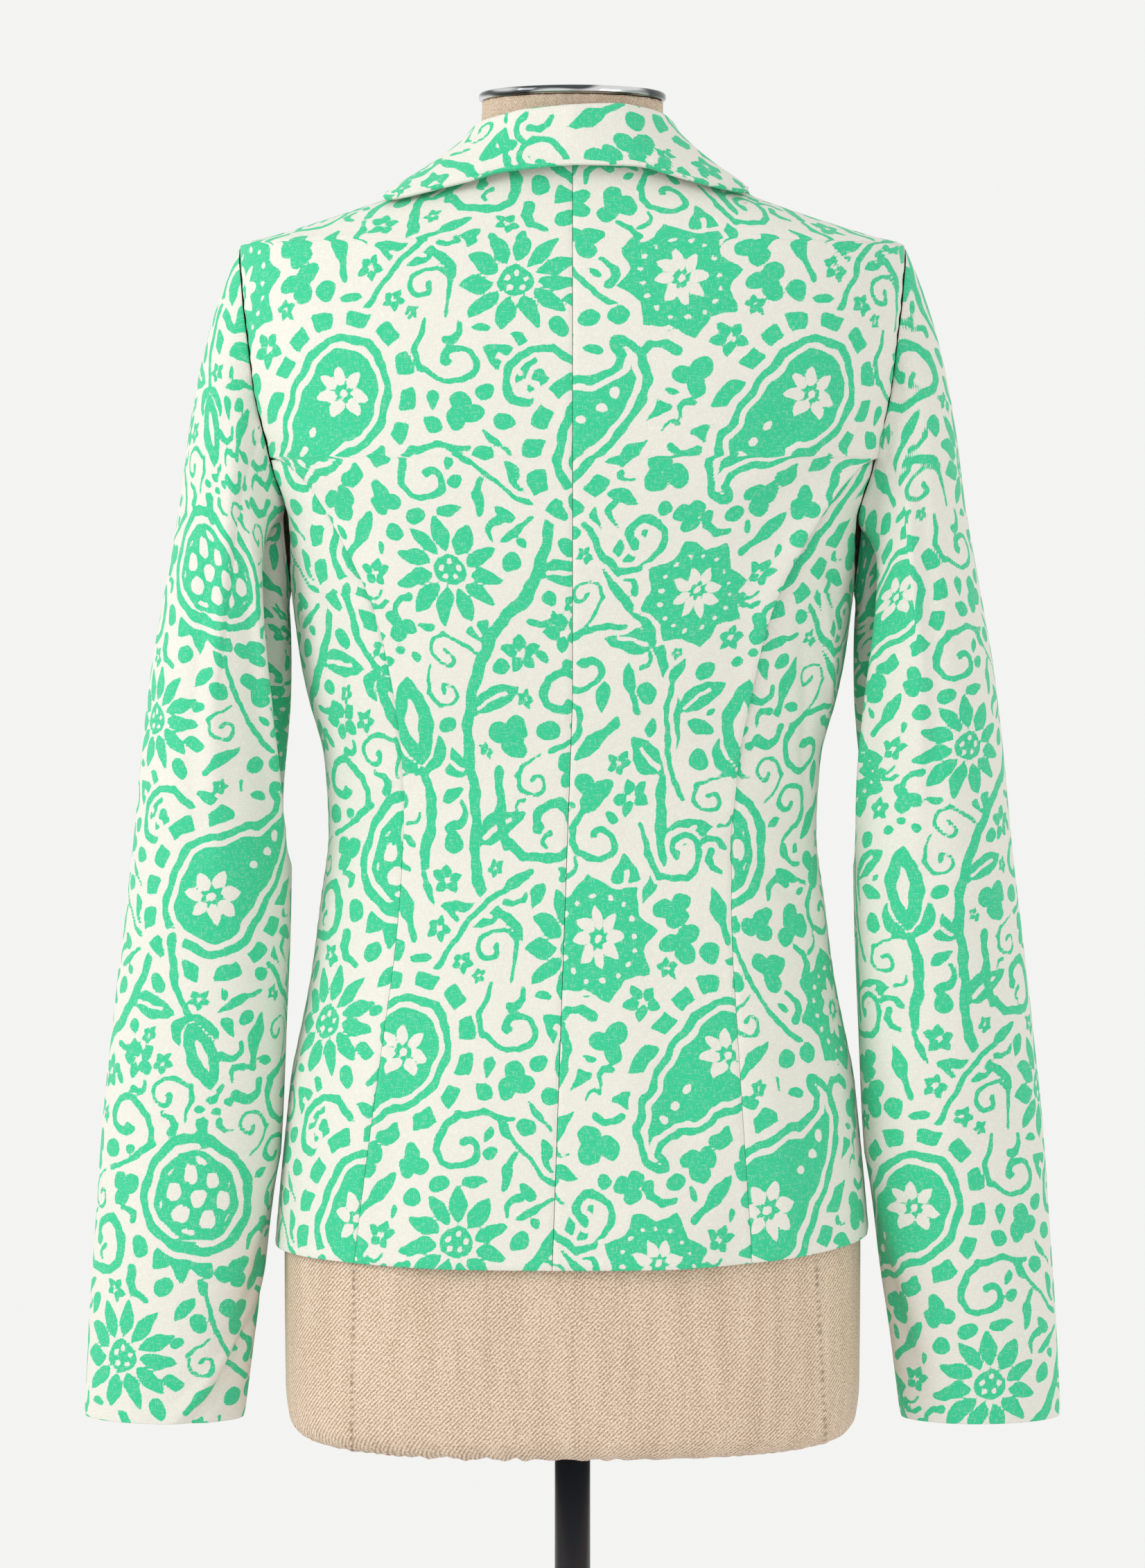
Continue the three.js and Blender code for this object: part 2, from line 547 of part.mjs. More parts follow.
function sideBackPanel(side) {
  const heights = bodyHeights.filter((height) => height < PRINCESS_TOP - 1);
  const inner = (height) => princessAngle(side, height);
  const outer = (height) => outerAngle(side, true, height);
  return panelGeometry(heights, inner, outer, SIDE_COLUMNS, bodyPoint);
}

function frontPanel(side) {
  const outer = (height) => outerAngle(side, false, height);
  const edge = (height) => frontEdgeAngle(side, height);
  const pointAt = (angle, height) => frontPoint(side, angle, height);
  return panelGeometry(bodyHeights, outer, edge, FRONT_COLUMNS, pointAt);
}

// A strip folded back on itself: a stand from the seam, an arc outwards over the roll line, then a fall
// that leaves the arc in line with the stand and eases to its outer edge
function foldedSection(guide, along) {
  const { seam, roll, edge, radius } = guide;
  const up = roll.clone().sub(seam).normalize();
  const out = along.clone().cross(up).normalize();
  if (out.dot(guide.outward) < 0) out.negate();
  const centre = roll.clone().addScaledVector(up, -radius).addScaledVector(out, radius);
  const points = [];
  const inner = centre.clone().addScaledVector(out, -radius);
  for (const t of spaced(0, 1, FOLD_STEPS.stand).slice(0, -1)) points.push(seam.clone().lerp(inner, t));
  for (const angle of spaced(0, Math.PI, FOLD_STEPS.arc)) {
    points.push(
      centre
        .clone()
        .addScaledVector(out, -radius * Math.cos(angle))
        .addScaledVector(up, radius * Math.sin(angle)),
    );
  }
  const start = points[points.length - 1];
  const control = start.clone().addScaledVector(up, -guide.ease * start.distanceTo(edge));
  for (const t of spaced(0, 1, FOLD_STEPS.fall).slice(1)) {
    const first = start.clone().lerp(control, t);
    const second = control.clone().lerp(edge, t);
    points.push(first.lerp(second, t));
  }
  return points;
}

function foldedGeometry(guides) {
  const last = guides.length - 1;
  const grid = guides.map((guide, i) => {
    const along = guides[Math.min(i + 1, last)].roll.clone().sub(guides[Math.max(i - 1, 0)].roll);
    return foldedSection(guide, along);
  });
  const normals = gridNormals(grid, false);
  return wallBetween(shifted(grid, normals, CLOTH / 2), shifted(grid, normals, -CLOTH / 2), false);
}

// Collar rows run from the right gorge over the centre back to the left gorge
function collarGuideAt(along) {
  const side = Math.sign(along) || 1;
  const row = collarGuide(Math.abs(along));
  const seamNormal = bodyNormal(side * row.seam_angle, row.seam_z);
  const drop = side * COLLAR_TILT.height * Math.sin(Math.PI * Math.min(Math.abs(along) / COLLAR_TILT.end, 1));
  const roll = new THREE.Vector3(side * row.roll_x, row.roll_y, row.roll_z - drop);
  const seam = smoothBody(side * row.seam_angle, row.seam_z).addScaledVector(seamNormal, -CLOTH / 2);
  seam.addScaledVector(roll.clone().sub(seam).normalize(), COLLAR_SEAM_LIFT);
  const edgeZ = row.edge_z - drop;
  const edgeNormal = bodyNormal(side * row.edge_angle, edgeZ);
  const edge = smoothBody(side * row.edge_angle, edgeZ).addScaledVector(edgeNormal, row.lift);
  return { seam, roll, edge, radius: row.radius, ease: row.ease, outward: seamNormal };
}

const collarGeometry = () => foldedGeometry(spaced(-1, 1, COLLAR_ROWS).map(collarGuideAt));

function lapelGuideAt(side, along) {
  const row = side > 0 ? leftLapelGuide(along) : rightLapelGuide(along);
  const angle = frontAngle(side, side * rollX(row.roll_z), row.roll_z);
  const normal = bodyNormal(angle, row.roll_z);
  const aheadAngle = frontAngle(side, side * (rollX(row.roll_z) - LAPEL_AHEAD), row.roll_z);
  const ahead = frontPoint(side, aheadAngle, row.roll_z);
  const surface = frontPoint(side, angle, row.roll_z);
  const turn = ahead.sub(surface).normalize();
  const seam = surface.clone().addScaledVector(normal, -CLOTH / 2).addScaledVector(turn, LAPEL_SEAM_GAP);
  const roll = seam.clone().addScaledVector(turn, LAPEL_TURN);
  const edgeAngle = frontAngle(side, side * row.edge_x, row.edge_z);
  const edge = frontPoint(side, edgeAngle, row.edge_z);
  edge.addScaledVector(bodyNormal(edgeAngle, row.edge_z), LAPEL_LIFT);
  return { seam, roll, edge, radius: LAPEL_RADIUS, ease: row.ease, outward: normal };
}

function lapelGeometry(side) {
  return foldedGeometry(spaced(0, 1, LAPEL_ROWS).map((along) => lapelGuideAt(side, along)));
}

// Radial push of the sleeve's folds, each a bell across and a half sine along its height
function sleeveFold(turn, height) {
  let sum = 0;
  for (const fold of SLEEVE_FOLDS) {
    const along = (fold.high - height) / (fold.high - fold.low);
    if (along <= 0 || along >= 1) continue;
    const middle = fold.high_turn + (fold.low_turn - fold.high_turn) * along;
    const away = Math.atan2(Math.sin(turn - middle), Math.cos(turn - middle));
    sum += fold.depth * Math.sin(Math.PI * along) * bell(away / fold.width);
  }
  return sum;
}

function ringPoint(row, turn) {
  const inward = (1 + Math.cos(turn)) / 2;
  return new THREE.Vector3(
    row.inner_x * inward + row.outer_x * (1 - inward) - row.lean * Math.sin(turn),
    row.middle + row.depth * Math.sin(turn),
    row.inner_z * inward + row.outer_z * (1 - inward),
  );
}

// A sleeve point: the oval ring, plus what is left of the armhole's own shape near the armhole
function sleevePoint(ring, turn) {
  const row = sleeveRing(ring);
  const point = ringPoint(row, turn);
  const centre = ringPoint(row, Math.PI / 2).add(ringPoint(row, -Math.PI / 2)).multiplyScalar(0.5);
  const left = 1 - smoothStep(ring, 0, SLEEVE_BLEND_RINGS);
  const difference = armholePoint(turn).sub(ringPoint(sleeveRing(0), turn));
  point.addScaledVector(difference, left);
  point.addScaledVector(point.clone().sub(centre).normalize(), sleeveFold(turn, point.z));
  point.x += SLEEVE_GAP;
  return point;
}

function sleeveGeometry(side) {
  const turns = spaced(0, 2 * Math.PI, SLEEVE_COLUMNS).slice(0, -1);
  const grid = SLEEVE_ROWS.map((ring) => turns.map((turn) => sleevePoint(ring, turn)));
  const outward = (point) => new THREE.Vector3(point.x - SLEEVE_AXIS_X, point.y, 0);
  const normals = outwardNormals(grid, true, outward);
  turns.forEach((turn, j) => normals[0][j].set(0, Math.sin(turn), -Math.cos(turn)));
  const inner = shifted(grid, normals, -CLOTH);
  const mirrored = (rows) => rows.map((row) => row.map((p) => new THREE.Vector3(side * p.x, p.y, p.z)));
  return wallBetween(mirrored(grid), mirrored(inner), true);
}

// A solid through level ovals, closed with a flat face at each end
function formGeometry() {
  const turns = spaced(0, 2 * Math.PI, FORM_COLUMNS).slice(0, -1);
  const points = FORM_SECTIONS.flatMap((row) =>
    turns.map((turn) => ovalPoint(row, turn, row.height, row.power)),
  );
  const rows = FORM_SECTIONS.length;
  const index = (i, j) => i * FORM_COLUMNS + (j % FORM_COLUMNS);
  const faces = [];
  for (let i = 0; i < rows - 1; i++) {
    for (let j = 0; j < FORM_COLUMNS; j++) {
      faces.push(...twoTriangles(index(i, j), index(i, j + 1), index(i + 1, j + 1), index(i + 1, j)));
    }
  }
  const ends = [0, rows - 1].map((i) => {
    points.push(new THREE.Vector3(0, 0, FORM_SECTIONS[i].height));
    return points.length - 1;
  });
  for (let j = 0; j < FORM_COLUMNS; j++) {
    faces.push([ends[0], index(0, j + 1), index(0, j)]);
    faces.push([ends[1], index(rows - 1, j), index(rows - 1, j + 1)]);
  }
  return geometryOf(points, faces);
}

// Turned pieces of the stand, as profiles of radius and height
function turned(profile, segments) {
  const points = profile.map(([radius, height]) => new THREE.Vector2(radius, height));
  const geometry = new THREE.LatheGeometry(points, segments);
  geometry.rotateX(Math.PI / 2);
  return geometry;
}

function capGeometry() {
  const bottom = CAP.top - CAP.thick;
  const shoulder = CAP.radius - CAP.rim;
  return turned(
    [
      [0, bottom],
      [shoulder, bottom],
      [CAP.radius, bottom + CAP.rim],
      [CAP.radius, CAP.top - CAP.rim],
      [shoulder, CAP.top],
      [0, CAP.top],
    ],
    ROUND_STEPS.cap,
  );
}

function baseGeometry() {
  return turned(
    [
      [0, 0],
      [BASE.radius, 0],
      [BASE.radius, BASE.thick - BASE.edge],
      [BASE.radius - BASE.edge, BASE.thick],
      [BASE.boss_radius, BASE.thick],
      [BASE.boss_radius - BASE.edge, BASE.boss_height],
      [0, BASE.boss_height],
    ],
    ROUND_STEPS.base,
  );
}

function flangeGeometry() {
  const top = FORM_BOTTOM - SEAM_GAP;
  const bottom = top - FLANGE.thick;
  const profile = [[0, bottom], [FLANGE.radius, bottom], [FLANGE.radius, top], [0, top]];
  return turned(profile, ROUND_STEPS.flange);
}

function poleGeometry() {
  const top = FORM_BOTTOM - FLANGE.thick - 2 * SEAM_GAP;
  const bottom = BASE.boss_height + SEAM_GAP;
  return turned([[0, bottom], [POLE_RADIUS, bottom], [POLE_RADIUS, top], [0, top]], ROUND_STEPS.pole);
}

// A four-hole button: a disc with round holes, lying on the right front
function buttonGeometry() {
  const outline = new THREE.Shape().absarc(0, 0, BUTTON.radius, 0, 2 * Math.PI);
  for (const [x, y] of [[1, 1], [1, -1], [-1, 1], [-1, -1]]) {
    const hole = new THREE.Path();
    hole.absarc(x * BUTTON.hole_offset, y * BUTTON.hole_offset, BUTTON.hole, 0, 2 * Math.PI, true);
    outline.holes.push(hole);
  }
  return new THREE.ExtrudeGeometry(outline, {
    depth: BUTTON.thick,
    bevelEnabled: false,
    curveSegments: ROUND_STEPS.button,
  });
}

const blazer = new THREE.Group();

function addPiece(name, geometry, material) {
  for (const attribute of ["normal", "uv"]) geometry.deleteAttribute(attribute);
  const piece = new THREE.Mesh(geometry, material);
  piece.name = name;
  blazer.add(piece);
  return piece;
}

for (const [side, word] of [[1, "left"], [-1, "right"]]) {
  addPiece("back_" + word, backPanel(side), MATERIALS.print);
  addPiece("side_back_" + word, sideBackPanel(side), MATERIALS.print);
  addPiece("front_" + word, frontPanel(side), MATERIALS.print);
  addPiece("lapel_" + word, lapelGeometry(side), MATERIALS.print);
  addPiece("sleeve_" + word, sleeveGeometry(side), MATERIALS.print);
}
addPiece("collar", collarGeometry(), MATERIALS.print);

const buttonPiece = addPiece("button", buttonGeometry(), MATERIALS.button);
const buttonNormal = bodyNormal(-Math.PI, BUTTON.height);
buttonPiece.position.copy(smoothBody(-Math.PI, BUTTON.height).addScaledVector(buttonNormal, SEAM_GAP));
buttonPiece.quaternion.setFromUnitVectors(new THREE.Vector3(0, 0, 1), buttonNormal);

addPiece("form_body", formGeometry(), MATERIALS.linen);
addPiece("neck_cap", capGeometry(), MATERIALS.chrome);
addPiece("flange", flangeGeometry(), MATERIALS.black_steel);
addPiece("pole", poleGeometry(), MATERIALS.black_steel);
addPiece("base_plate", baseGeometry(), MATERIALS.black_steel);

export default blazer;
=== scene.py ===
"""A printed blazer on a limbless dress form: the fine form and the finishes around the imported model.

Sizes in the tables are millimetres, as in the part's source, and become metres when a mesh is made.
The blazer's body is one surface: level sections, each a rounded oval with a half width, a depth behind
and a depth in front. A place on it is an angle, 0 at the centre back and positive on the blazer's left
side, and a height. Each panel is the strip of that surface between two seams.
"""

import math

import bpy
import numpy as np
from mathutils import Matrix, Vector


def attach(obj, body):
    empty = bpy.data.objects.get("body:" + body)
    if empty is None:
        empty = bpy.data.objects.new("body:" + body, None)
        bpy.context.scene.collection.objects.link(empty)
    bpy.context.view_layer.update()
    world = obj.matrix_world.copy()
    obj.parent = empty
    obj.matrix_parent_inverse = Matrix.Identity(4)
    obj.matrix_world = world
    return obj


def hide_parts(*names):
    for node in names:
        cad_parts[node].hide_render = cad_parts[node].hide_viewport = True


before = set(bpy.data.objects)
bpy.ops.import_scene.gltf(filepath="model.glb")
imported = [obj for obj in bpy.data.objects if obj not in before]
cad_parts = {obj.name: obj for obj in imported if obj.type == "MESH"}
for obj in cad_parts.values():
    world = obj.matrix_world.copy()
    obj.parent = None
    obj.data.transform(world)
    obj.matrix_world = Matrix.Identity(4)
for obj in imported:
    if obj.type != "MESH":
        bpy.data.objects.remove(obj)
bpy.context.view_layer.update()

MM = 0.001
TURN = 2 * math.pi

# Sizes of the blazer
CLOTH = 2
SEAM_GAP = 0.3
SECTION_POWER = 2.5
HEM_HEIGHT = 806
HEM_LIFT_LEFT = 2.5
HEM_LIFT_RIGHT = 9
HEM_LIFT_FADE = 110
UNDERARM_HEIGHT = 1172
SHOULDER_HEIGHT = 1365
NECK_HEIGHT = 1407
ARMHOLE_BACK = 44
ARMHOLE_FRONT = 52
ARMHOLE_ROUNDNESS = 1.15
PRINCESS_TOP = 1247
CENTRE_DRIFT = 11
CENTRE_DRIFT_TOP = 1115
FRONT_OVERLAP = 12
UNDER_INSET = 3.4
UNDER_INSET_X = (14, 50)
UNDER_INSET_Z = (1131, 1190)
BREAK_HEIGHT = 1085
ROLL_TOP_X = 72
HEM_CORNER = 30
SLEEVE_BLEND_RINGS = 3
SLEEVE_GAP = 0.3
COLLAR_SEAM_LIFT = 1.4
COLLAR_TILT = 2.2
COLLAR_TILT_END = 0.57
LAPEL_LIFT = 3.6
LAPEL_RADIUS = 2.4
LAPEL_TURN = 3
LAPEL_AHEAD = 5
LAPEL_SEAM_GAP = 0.9
BUTTON_HEIGHT = 1062
BUTTON_RADIUS = 10
BUTTON_THICK = 3.6
BUTTON_DISH = 0.7
BUTTON_HOLE = 0.9
BUTTON_HOLE_OFFSET = 1.56
BUTTON_HOLE_DEPTH = 1.5
BUTTON_RIM_WIDTH = 1.3
BUTTON_RIM_DROP = 1.1
BUTTON_DISH_EDGE = (0.62, 0.8)
BUTTON_BACK_SHARE = 0.97
BUTTON_BACK_BEVEL = 0.35
THREAD_RADIUS = 0.45
THREAD_SINK = 0.6
THREAD_ARCH = 0.9
SIDES = ((1, "left"), (-1, "right"))

# Spacing of the points on the visible face of the cloth, and how much coarser its inner face is
CLOTH_STEP = 1.88
INNER_STRIDE = 4
SHOULDER_CROWDING = 0.38

# Rounded edges of a piece: distances in from the edge of its closest columns, and the dip at the edge
EDGE_STEPS = (0.5, 1.1, 1.9, 3.0)
LEVEL_EDGE_STEPS = (0.2, 0.7, 1.5, 2.6, 4.0)
EDGE_DIP = 0.55
EDGE_DIP_WIDTH = 1.5
EDGE_REACH = 10
EDGE_CHUNK = 2000
FAR_FROM_EDGE = 100.0
PUCKER_DEPTH = 0.2
PUCKER_PITCH = 11
PUCKER_WIDTH = 6
PUCKER_DRIFT = 23

PRINCESS_TIP = 0.35
LENGTH_SAMPLES = 400
FLAT_ROWS = 37
FLAT_COLUMNS = 17
FLAT_ROUNDS = 500
FOLD_ARC_STEPS = 16
COLLAR_LENGTH = 470
COLLAR_FALL = 38
LAPEL_LENGTH = 290
LAPEL_FALL = 62
SLEEVE_ROUND = 342
SLEEVE_AXIS_X = 196
SLEEVE_RADIUS = 52
ARMHOLE_END_RINGS = 0.6

# The form: heights of its points as start, end and step, the gathers at its lower edge and its neck, and
# its stitched seams
FORM_ROWS = ((700, 704, 0.8), (704.8, 712, 0.9), (713.3, 812, 1.4), (825, 1375, 14), (1386, 1445, 1.6))
FORM_COLUMNS = 440
FORM_GIRTH_ROW = 60
FORM_GATHER_Z = 703
FORM_GATHER_HIGH = 9
FORM_GATHER_X = 45
FORM_GATHER_WIDE = 70
FORM_GATHER_DEPTH = 0.8
FORM_GATHER_LEAST = 0.25
FORM_NECK_Z = 1445
FORM_NECK_HIGH = 3
FORM_NECK_DEPTH = 0.35
FORM_SEAMS = ((119, 0.02), (-133, -0.06))
FORM_SEAM_TOP = 812
FORM_SEAM_DEPTH = 0.5
FORM_SEAM_WIDTH = 1.6
FORM_STITCH = 4.4
FORM_HOLE_WIDTH = 0.9
FORM_HOLE_SHADE = 0.75
FLOOR_RADIUS = 1150
FLOOR_LEVELS = (-8, -1)

# The print's repeat, the grid it is drawn on, the distances it starts from and is cut off at, how far a
# motif reaches, the cream left round it, and the two vines
TILE = (276, 372)
TILE_STEP = 0.6
EMPTY = -60.0
INK_REACH = 6.0
MOTIF_REACH = 58.0
HALO = 2.8
VINES = ((69, 1), (207, -1))
VINE_SWING = 40
VINE_RIPPLE = 6
VINE_HALF = 2.9
VINE_LEAVES = 10
LEAF_TURN = 52
LEAF_REACH = 40

# Small motifs that fill the gaps: the least room for one, and the part of it that one takes
FILL_SEED = 5
FILL_ROOM = 6.4
FILL_MEDIUM_ROOM = 12
FILL_CREAM = 2.6
FILL_LARGEST = 1.7
FILL_SPREAD = 2.2
FILL_GUARD = 3
FILL_MARK = -1.5

# Colours, as linear red, green and blue
BACKGROUND = (0.9, 0.9, 0.89, 1)
FLOOR = (0.76, 0.76, 0.75)
CREAM = (0.78, 0.77, 0.69)
CREAM_DARK = (0.72, 0.71, 0.63)
GREEN = (0.02, 0.55, 0.265)
LINEN_LIGHT = (0.85, 0.68, 0.53)
LINEN_DARK = (0.38, 0.25, 0.15)
LINEN_HOLE = (0.16, 0.1, 0.06)
# Painted reflections of the chrome: a light and a dark colour that stand in for the room mirrored in it
CHROME_REFLECTED_LIGHT = (0.72, 0.73, 0.74)
CHROME_REFLECTED_DARK = (0.07, 0.075, 0.08)
HORN = (0.72, 0.68, 0.58)
SEWING_THREAD = (0.7, 0.68, 0.6)
BLACK_STEEL = (0.022, 0.024, 0.03)

# Weave and relief of the finishes, and the chrome's painted reflections: noise scales per metre, shares,
# and relief in metres
OUTLINE_NOISE = 900.0
OUTLINE_ROUGHNESS = 0.9
INK_SOFTNESS = 0.22
WARP_FINE = 1500
WARP_LONG = 300
SPECK_SHARE = 0.24
SOFT_NOISE = 22.0
SOFT_RELIEF = 0.0022
THREAD_RELIEF = 0.00035
BARE_THREADS = (0.54, 0.72)
DARK_THREADS = (0.45, 0.7)
CLOTH_ROUGHNESS = 0.78
CLOTH_SHEEN = 0.12
SHEEN_ROUGHNESS = 0.5
TWILL_SCALE = 240.0
TWILL_DISTORTION = 3.5
TWILL_DETAIL = 2.0
TWILL_DETAIL_SCALE = 6.0
TWILL_SHARE = 0.34
LINEN_GRAIN = 950.0
LINEN_STREAKS = (90, 11, 1)
LINEN_STREAK_SHARE = 0.22
LINEN_THREADS = (0.5, 1.0)
LINEN_ROUGHNESS = 0.9
LINEN_SHEEN = 0.1
LINEN_RELIEF = 0.0004
# Stretch and soft step of the noise that places the chrome's painted reflections
CHROME_REFLECTION_STRETCH = (26, 26, 160)
CHROME_REFLECTION_EDGES = (0.42, 0.56)
CHROME_ROUGHNESS = 0.12
HORN_ROUGHNESS = 0.3
SEWING_ROUGHNESS = 0.8
STEEL_ROUGHNESS = 0.3
FLOOR_ROUGHNESS = 0.9

# Seams and darts inside a piece: a groove's depth and width, and how far the print jumps across it
GROOVE_DEPTH = 0.7
GROOVE_WIDTH = 1.4
SLEEVE_DART_TURN = {1: 1.5, -1: 1.45}
SLEEVE_DART_RINGS = (0.8, 7.6)
SLEEVE_DART_FADE = (0.6, 1.5)
SLEEVE_DART_JUMP = 34
FRONT_DART_X = 75
FRONT_DART_Z = (900, 1130)
FRONT_DART_JUMP = 14
COLLAR_STITCH = 2.5
COLLAR_STITCH_WIDTH = 0.8
COLLAR_JUMP = 64

# Where a piece is cut from the print, the first number turned round for the right side, and each sleeve's
PRINT_SHIFTS = {"back": (40, 10), "side_back": (90, 60), "front": (20, 90), "lapel": (30, 30)}
SLEEVE_PRINT_SHIFT = {1: (60, 150), -1: (96, 0)}

# The camera, and the lights: place and the point they face in metres, size, and power in watts
CAMERA_PLACE = (0, 2.7, 1.185)
CAMERA_PITCH = 2.536
CAMERA_LENS = 110.8
LIGHTS = (
    ("key", (2.2, 1.3, 2.0), (0, 0, 1.1), (1.0, 1.5), 31),
    ("fill", (-1.9, 1.7, 0.7), (0, 0, 1.0), (1.2, 1.2), 7),
)


def table(names, *rows):
    """A short table as one array for each named column."""
    return dict(zip(names.split(), np.array(rows, float).T))


BLAZER_SECTIONS = table(
    "height half_width back front",
    (780, 169.5, 103, 106),
    (806, 167, 102, 106),
    (845, 163.5, 99, 105),
    (880, 160, 95, 104),
    (903, 157.5, 91, 103),
    (923, 153.5, 87, 101),
    (942, 149.5, 83, 100),
    (961, 146, 79, 99),
    (1000, 141, 73, 97),
    (1039, 136.4, 69, 97),
    (1078, 138.5, 71, 102),
    (1116, 148, 78, 113),
    (1136, 152, 82, 119),
    (1174, 157, 89, 124),
    (1210, 162, 94, 124),
    (1245, 175.5, 97, 118),
    (1290, 186.5, 95, 107),
    (1326, 188, 88, 96),
    (1349, 186.4, 81, 87),
    (1365, 184.5, 76, 79),
    (1370, 167.5, 74.5, 77),
    (1381.5, 130.5, 70.9, 73),
    (1392.5, 100, 67, 69),
    (1408, 70, 61, 63),
)

FORM_SECTIONS = table(
    "height half_width back front power",
    (700, 145, 86, 88, 2.5),
    (704, 154, 94, 96, 2.5),
    (712, 159, 98, 100, 2.5),
    (730, 161, 99, 101, 2.5),
    (806, 161.5, 96.5, 99, 2.5),
    (845, 159.5, 93, 98, 2.5),
    (903, 152.5, 85, 96, 2.5),
    (961, 140, 73, 92, 2.5),
    (1000, 135, 67, 90, 2.5),
    (1039, 130, 63, 89, 2.5),
    (1078, 132, 65, 94, 2.5),
    (1116, 141.5, 72, 105, 2.5),
    (1174, 150, 83, 116.5, 2.5),
    (1210, 154, 88, 117, 2.5),
    (1245, 162, 91, 111, 2.5),
    (1290, 170, 89, 100, 2.5),
    (1326, 173, 81, 89, 2.5),
    (1345, 172, 76, 82, 2.5),
    (1357, 169, 72.5, 77, 2.5),
    (1365, 164, 70.5, 74, 2.5),
    (1369.4, 156, 69.6, 72.6, 2.5),
    (1373.9, 145.5, 68.6, 71.4, 2.5),
    (1381.6, 122.4, 65.8, 68.3, 2.5),
    (1391.4, 97, 62.6, 64.6, 2.5),
    (1398.8, 77.5, 59, 60.5, 2.4),
    (1407, 60, 54.5, 54.5, 2.2),
    (1420, 52, 51, 51, 2),
    (1445, 50, 50, 50, 2),
)

# Distance of the back princess seam from the centre back seam
PRINCESS_SEAM = table(
    "height out",
    (780, 111),
    (811, 109),
    (867, 103),
    (934, 96.5),
    (985, 92),
    (1035, 90),
    (1078, 92),
    (1122, 98.5),
    (1163, 108),
    (1193, 121),
    (1220, 137),
    (1238, 152),
    (1247, 163.5),
)

# Largest soft folds of the body: where round the body, from which height to which, width and depth
BODY_FOLDS = table(
    "angle low high width depth",
    (-0.28, 780, 905, 0.12, 3.2),
    (-0.5, 780, 880, 0.1, -2),
    (0.36, 780, 890, 0.12, 2.4),
    (0.78, 780, 900, 0.14, -2.6),
    (-1.02, 1105, 1215, 0.12, -2.4),
    (1.05, 1110, 1205, 0.12, -1.8),
    (2.3, 780, 900, 0.14, 2.4),
    (-2.4, 780, 890, 0.14, 2.2),
)

# Rings of a sleeve from the armhole to the cuff: outer and inner points, middle and half its depth
# front to back, and how far its back leans in towards the body
SLEEVE_RINGS = table(
    "ring outer_x outer_z inner_x inner_z middle depth lean",
    (0, 184.5, 1365, 157, 1172, -4, 48, 0),
    (1, 191.5, 1349, 157.5, 1170, -3, 50, 0),
    (2, 199, 1328, 158, 1167, -2, 53, 0),
    (3, 206.5, 1300, 158, 1163, -1, 56, 0),
    (4, 213, 1265, 157.5, 1157, 0, 58, 0),
    (5, 219, 1220, 157, 1148, 0, 59, 0),
    (6, 226.5, 1178, 156.5, 1134, 0, 59, 0),
    (7, 235, 1130, 156, 1108, 0, 58, 0),
    (8, 240.5, 1085, 156, 1076, 1, 56, 1),
    (9, 245.3, 1035, 156.5, 1031, 2, 53, 3),
    (10, 251, 985, 157.5, 985, 4, 49, 6),
    (11, 257, 930, 160, 930, 7, 45, 9),
    (12, 262.8, 870, 163, 870, 9, 41, 11),
    (13, 267, 810, 169.6, 810, 10, 38, 11),
    (14, 271, 760, 177.6, 760, 8, 35, 8),
    (15, 274, 711, 184, 711, 5, 33, 5),
)

# Folds of a sleeve: turn round the sleeve, 0 at the underarm and a quarter turn at the back, moving from
# the first to the second as the height falls
SLEEVE_FOLDS = table(
    "high high_turn low low_turn width depth",
    (1215, 0.78, 1040, -0.2, 0.27, -11),
    (1215, 1.15, 1040, 0.2, 0.22, 3),
    (860, 0.2, 700, 0.9, 0.3, -5),
    (1190, -1.1, 1010, -0.5, 0.3, -6),
)

# Sharper folds of one sleeve, in the same terms: the valley beside the body and the ridge behind it
SLEEVE_SHARP_FOLDS = {
    -1: table(
        "high high_turn low low_turn width depth",
        (1240, 0.8, 1020, -0.12, 0.24, -22),
        (1240, 1.18, 1020, 0.26, 0.12, 5.5),
        (1310, 1.6, 1000, 1.3, 0.13, 2.6),
        (1290, 1.85, 1010, 1.55, 0.14, -2.0),
    ),
    1: table(
        "high high_turn low low_turn width depth",
        (1250, 0.96, 1020, -0.02, 0.28, -24),
        (1250, 1.38, 1020, 0.4, 0.13, 5.5),
        (1320, 1.75, 1000, 1.5, 0.14, 2.2),
        (1300, 2.0, 1010, 1.75, 0.14, -1.8),
    ),
}

# Small creases of the sleeves: which side, the middle's turn and height, length and width, slant from
# upright in degrees, and depth
SLEEVE_CREASES = table(
    "side turn height length width slant depth",
    (1, 0.8, 738, 46, 5, -41, -3.2),
    (1, 1.02, 742, 48, 5, -41, 2.0),
    (1, 1.5, 1000, 34, 9, 62, 1.1),
    (1, 1.2, 972, 34, 8, 55, -1.1),
    (1, 1.9, 1035, 40, 9, -50, -0.9),
    (1, 2.3, 985, 36, 9, -58, 0.9),
    (1, 1.0, 905, 46, 9, 38, 0.9),
    (1, 1.75, 1300, 60, 8, 8, -1.2),
    (1, 1.3, 1270, 50, 7, 12, 1.0),
    (-1, 1.25, 1010, 40, 8, 60, -1.2),
    (-1, 1.55, 985, 40, 9, 52, 1.2),
    (-1, 2.1, 1022, 40, 9, -48, 1.0),
    (-1, 1.1, 925, 50, 9, 30, -0.9),
    (-1, 1.6, 850, 60, 11, 12, 0.9),
    (-1, 1.8, 1290, 60, 8, -6, -1.2),
    (-1, 1.35, 1255, 60, 7, 10, 1.2),
    (1, -1.5, 1000, 50, 9, 50, -1.4),
    (1, -1.9, 960, 50, 9, 40, 1.2),
    (-1, -1.5, 990, 50, 9, 50, -1.4),
    (-1, -1.9, 950, 50, 9, 40, 1.2),
)

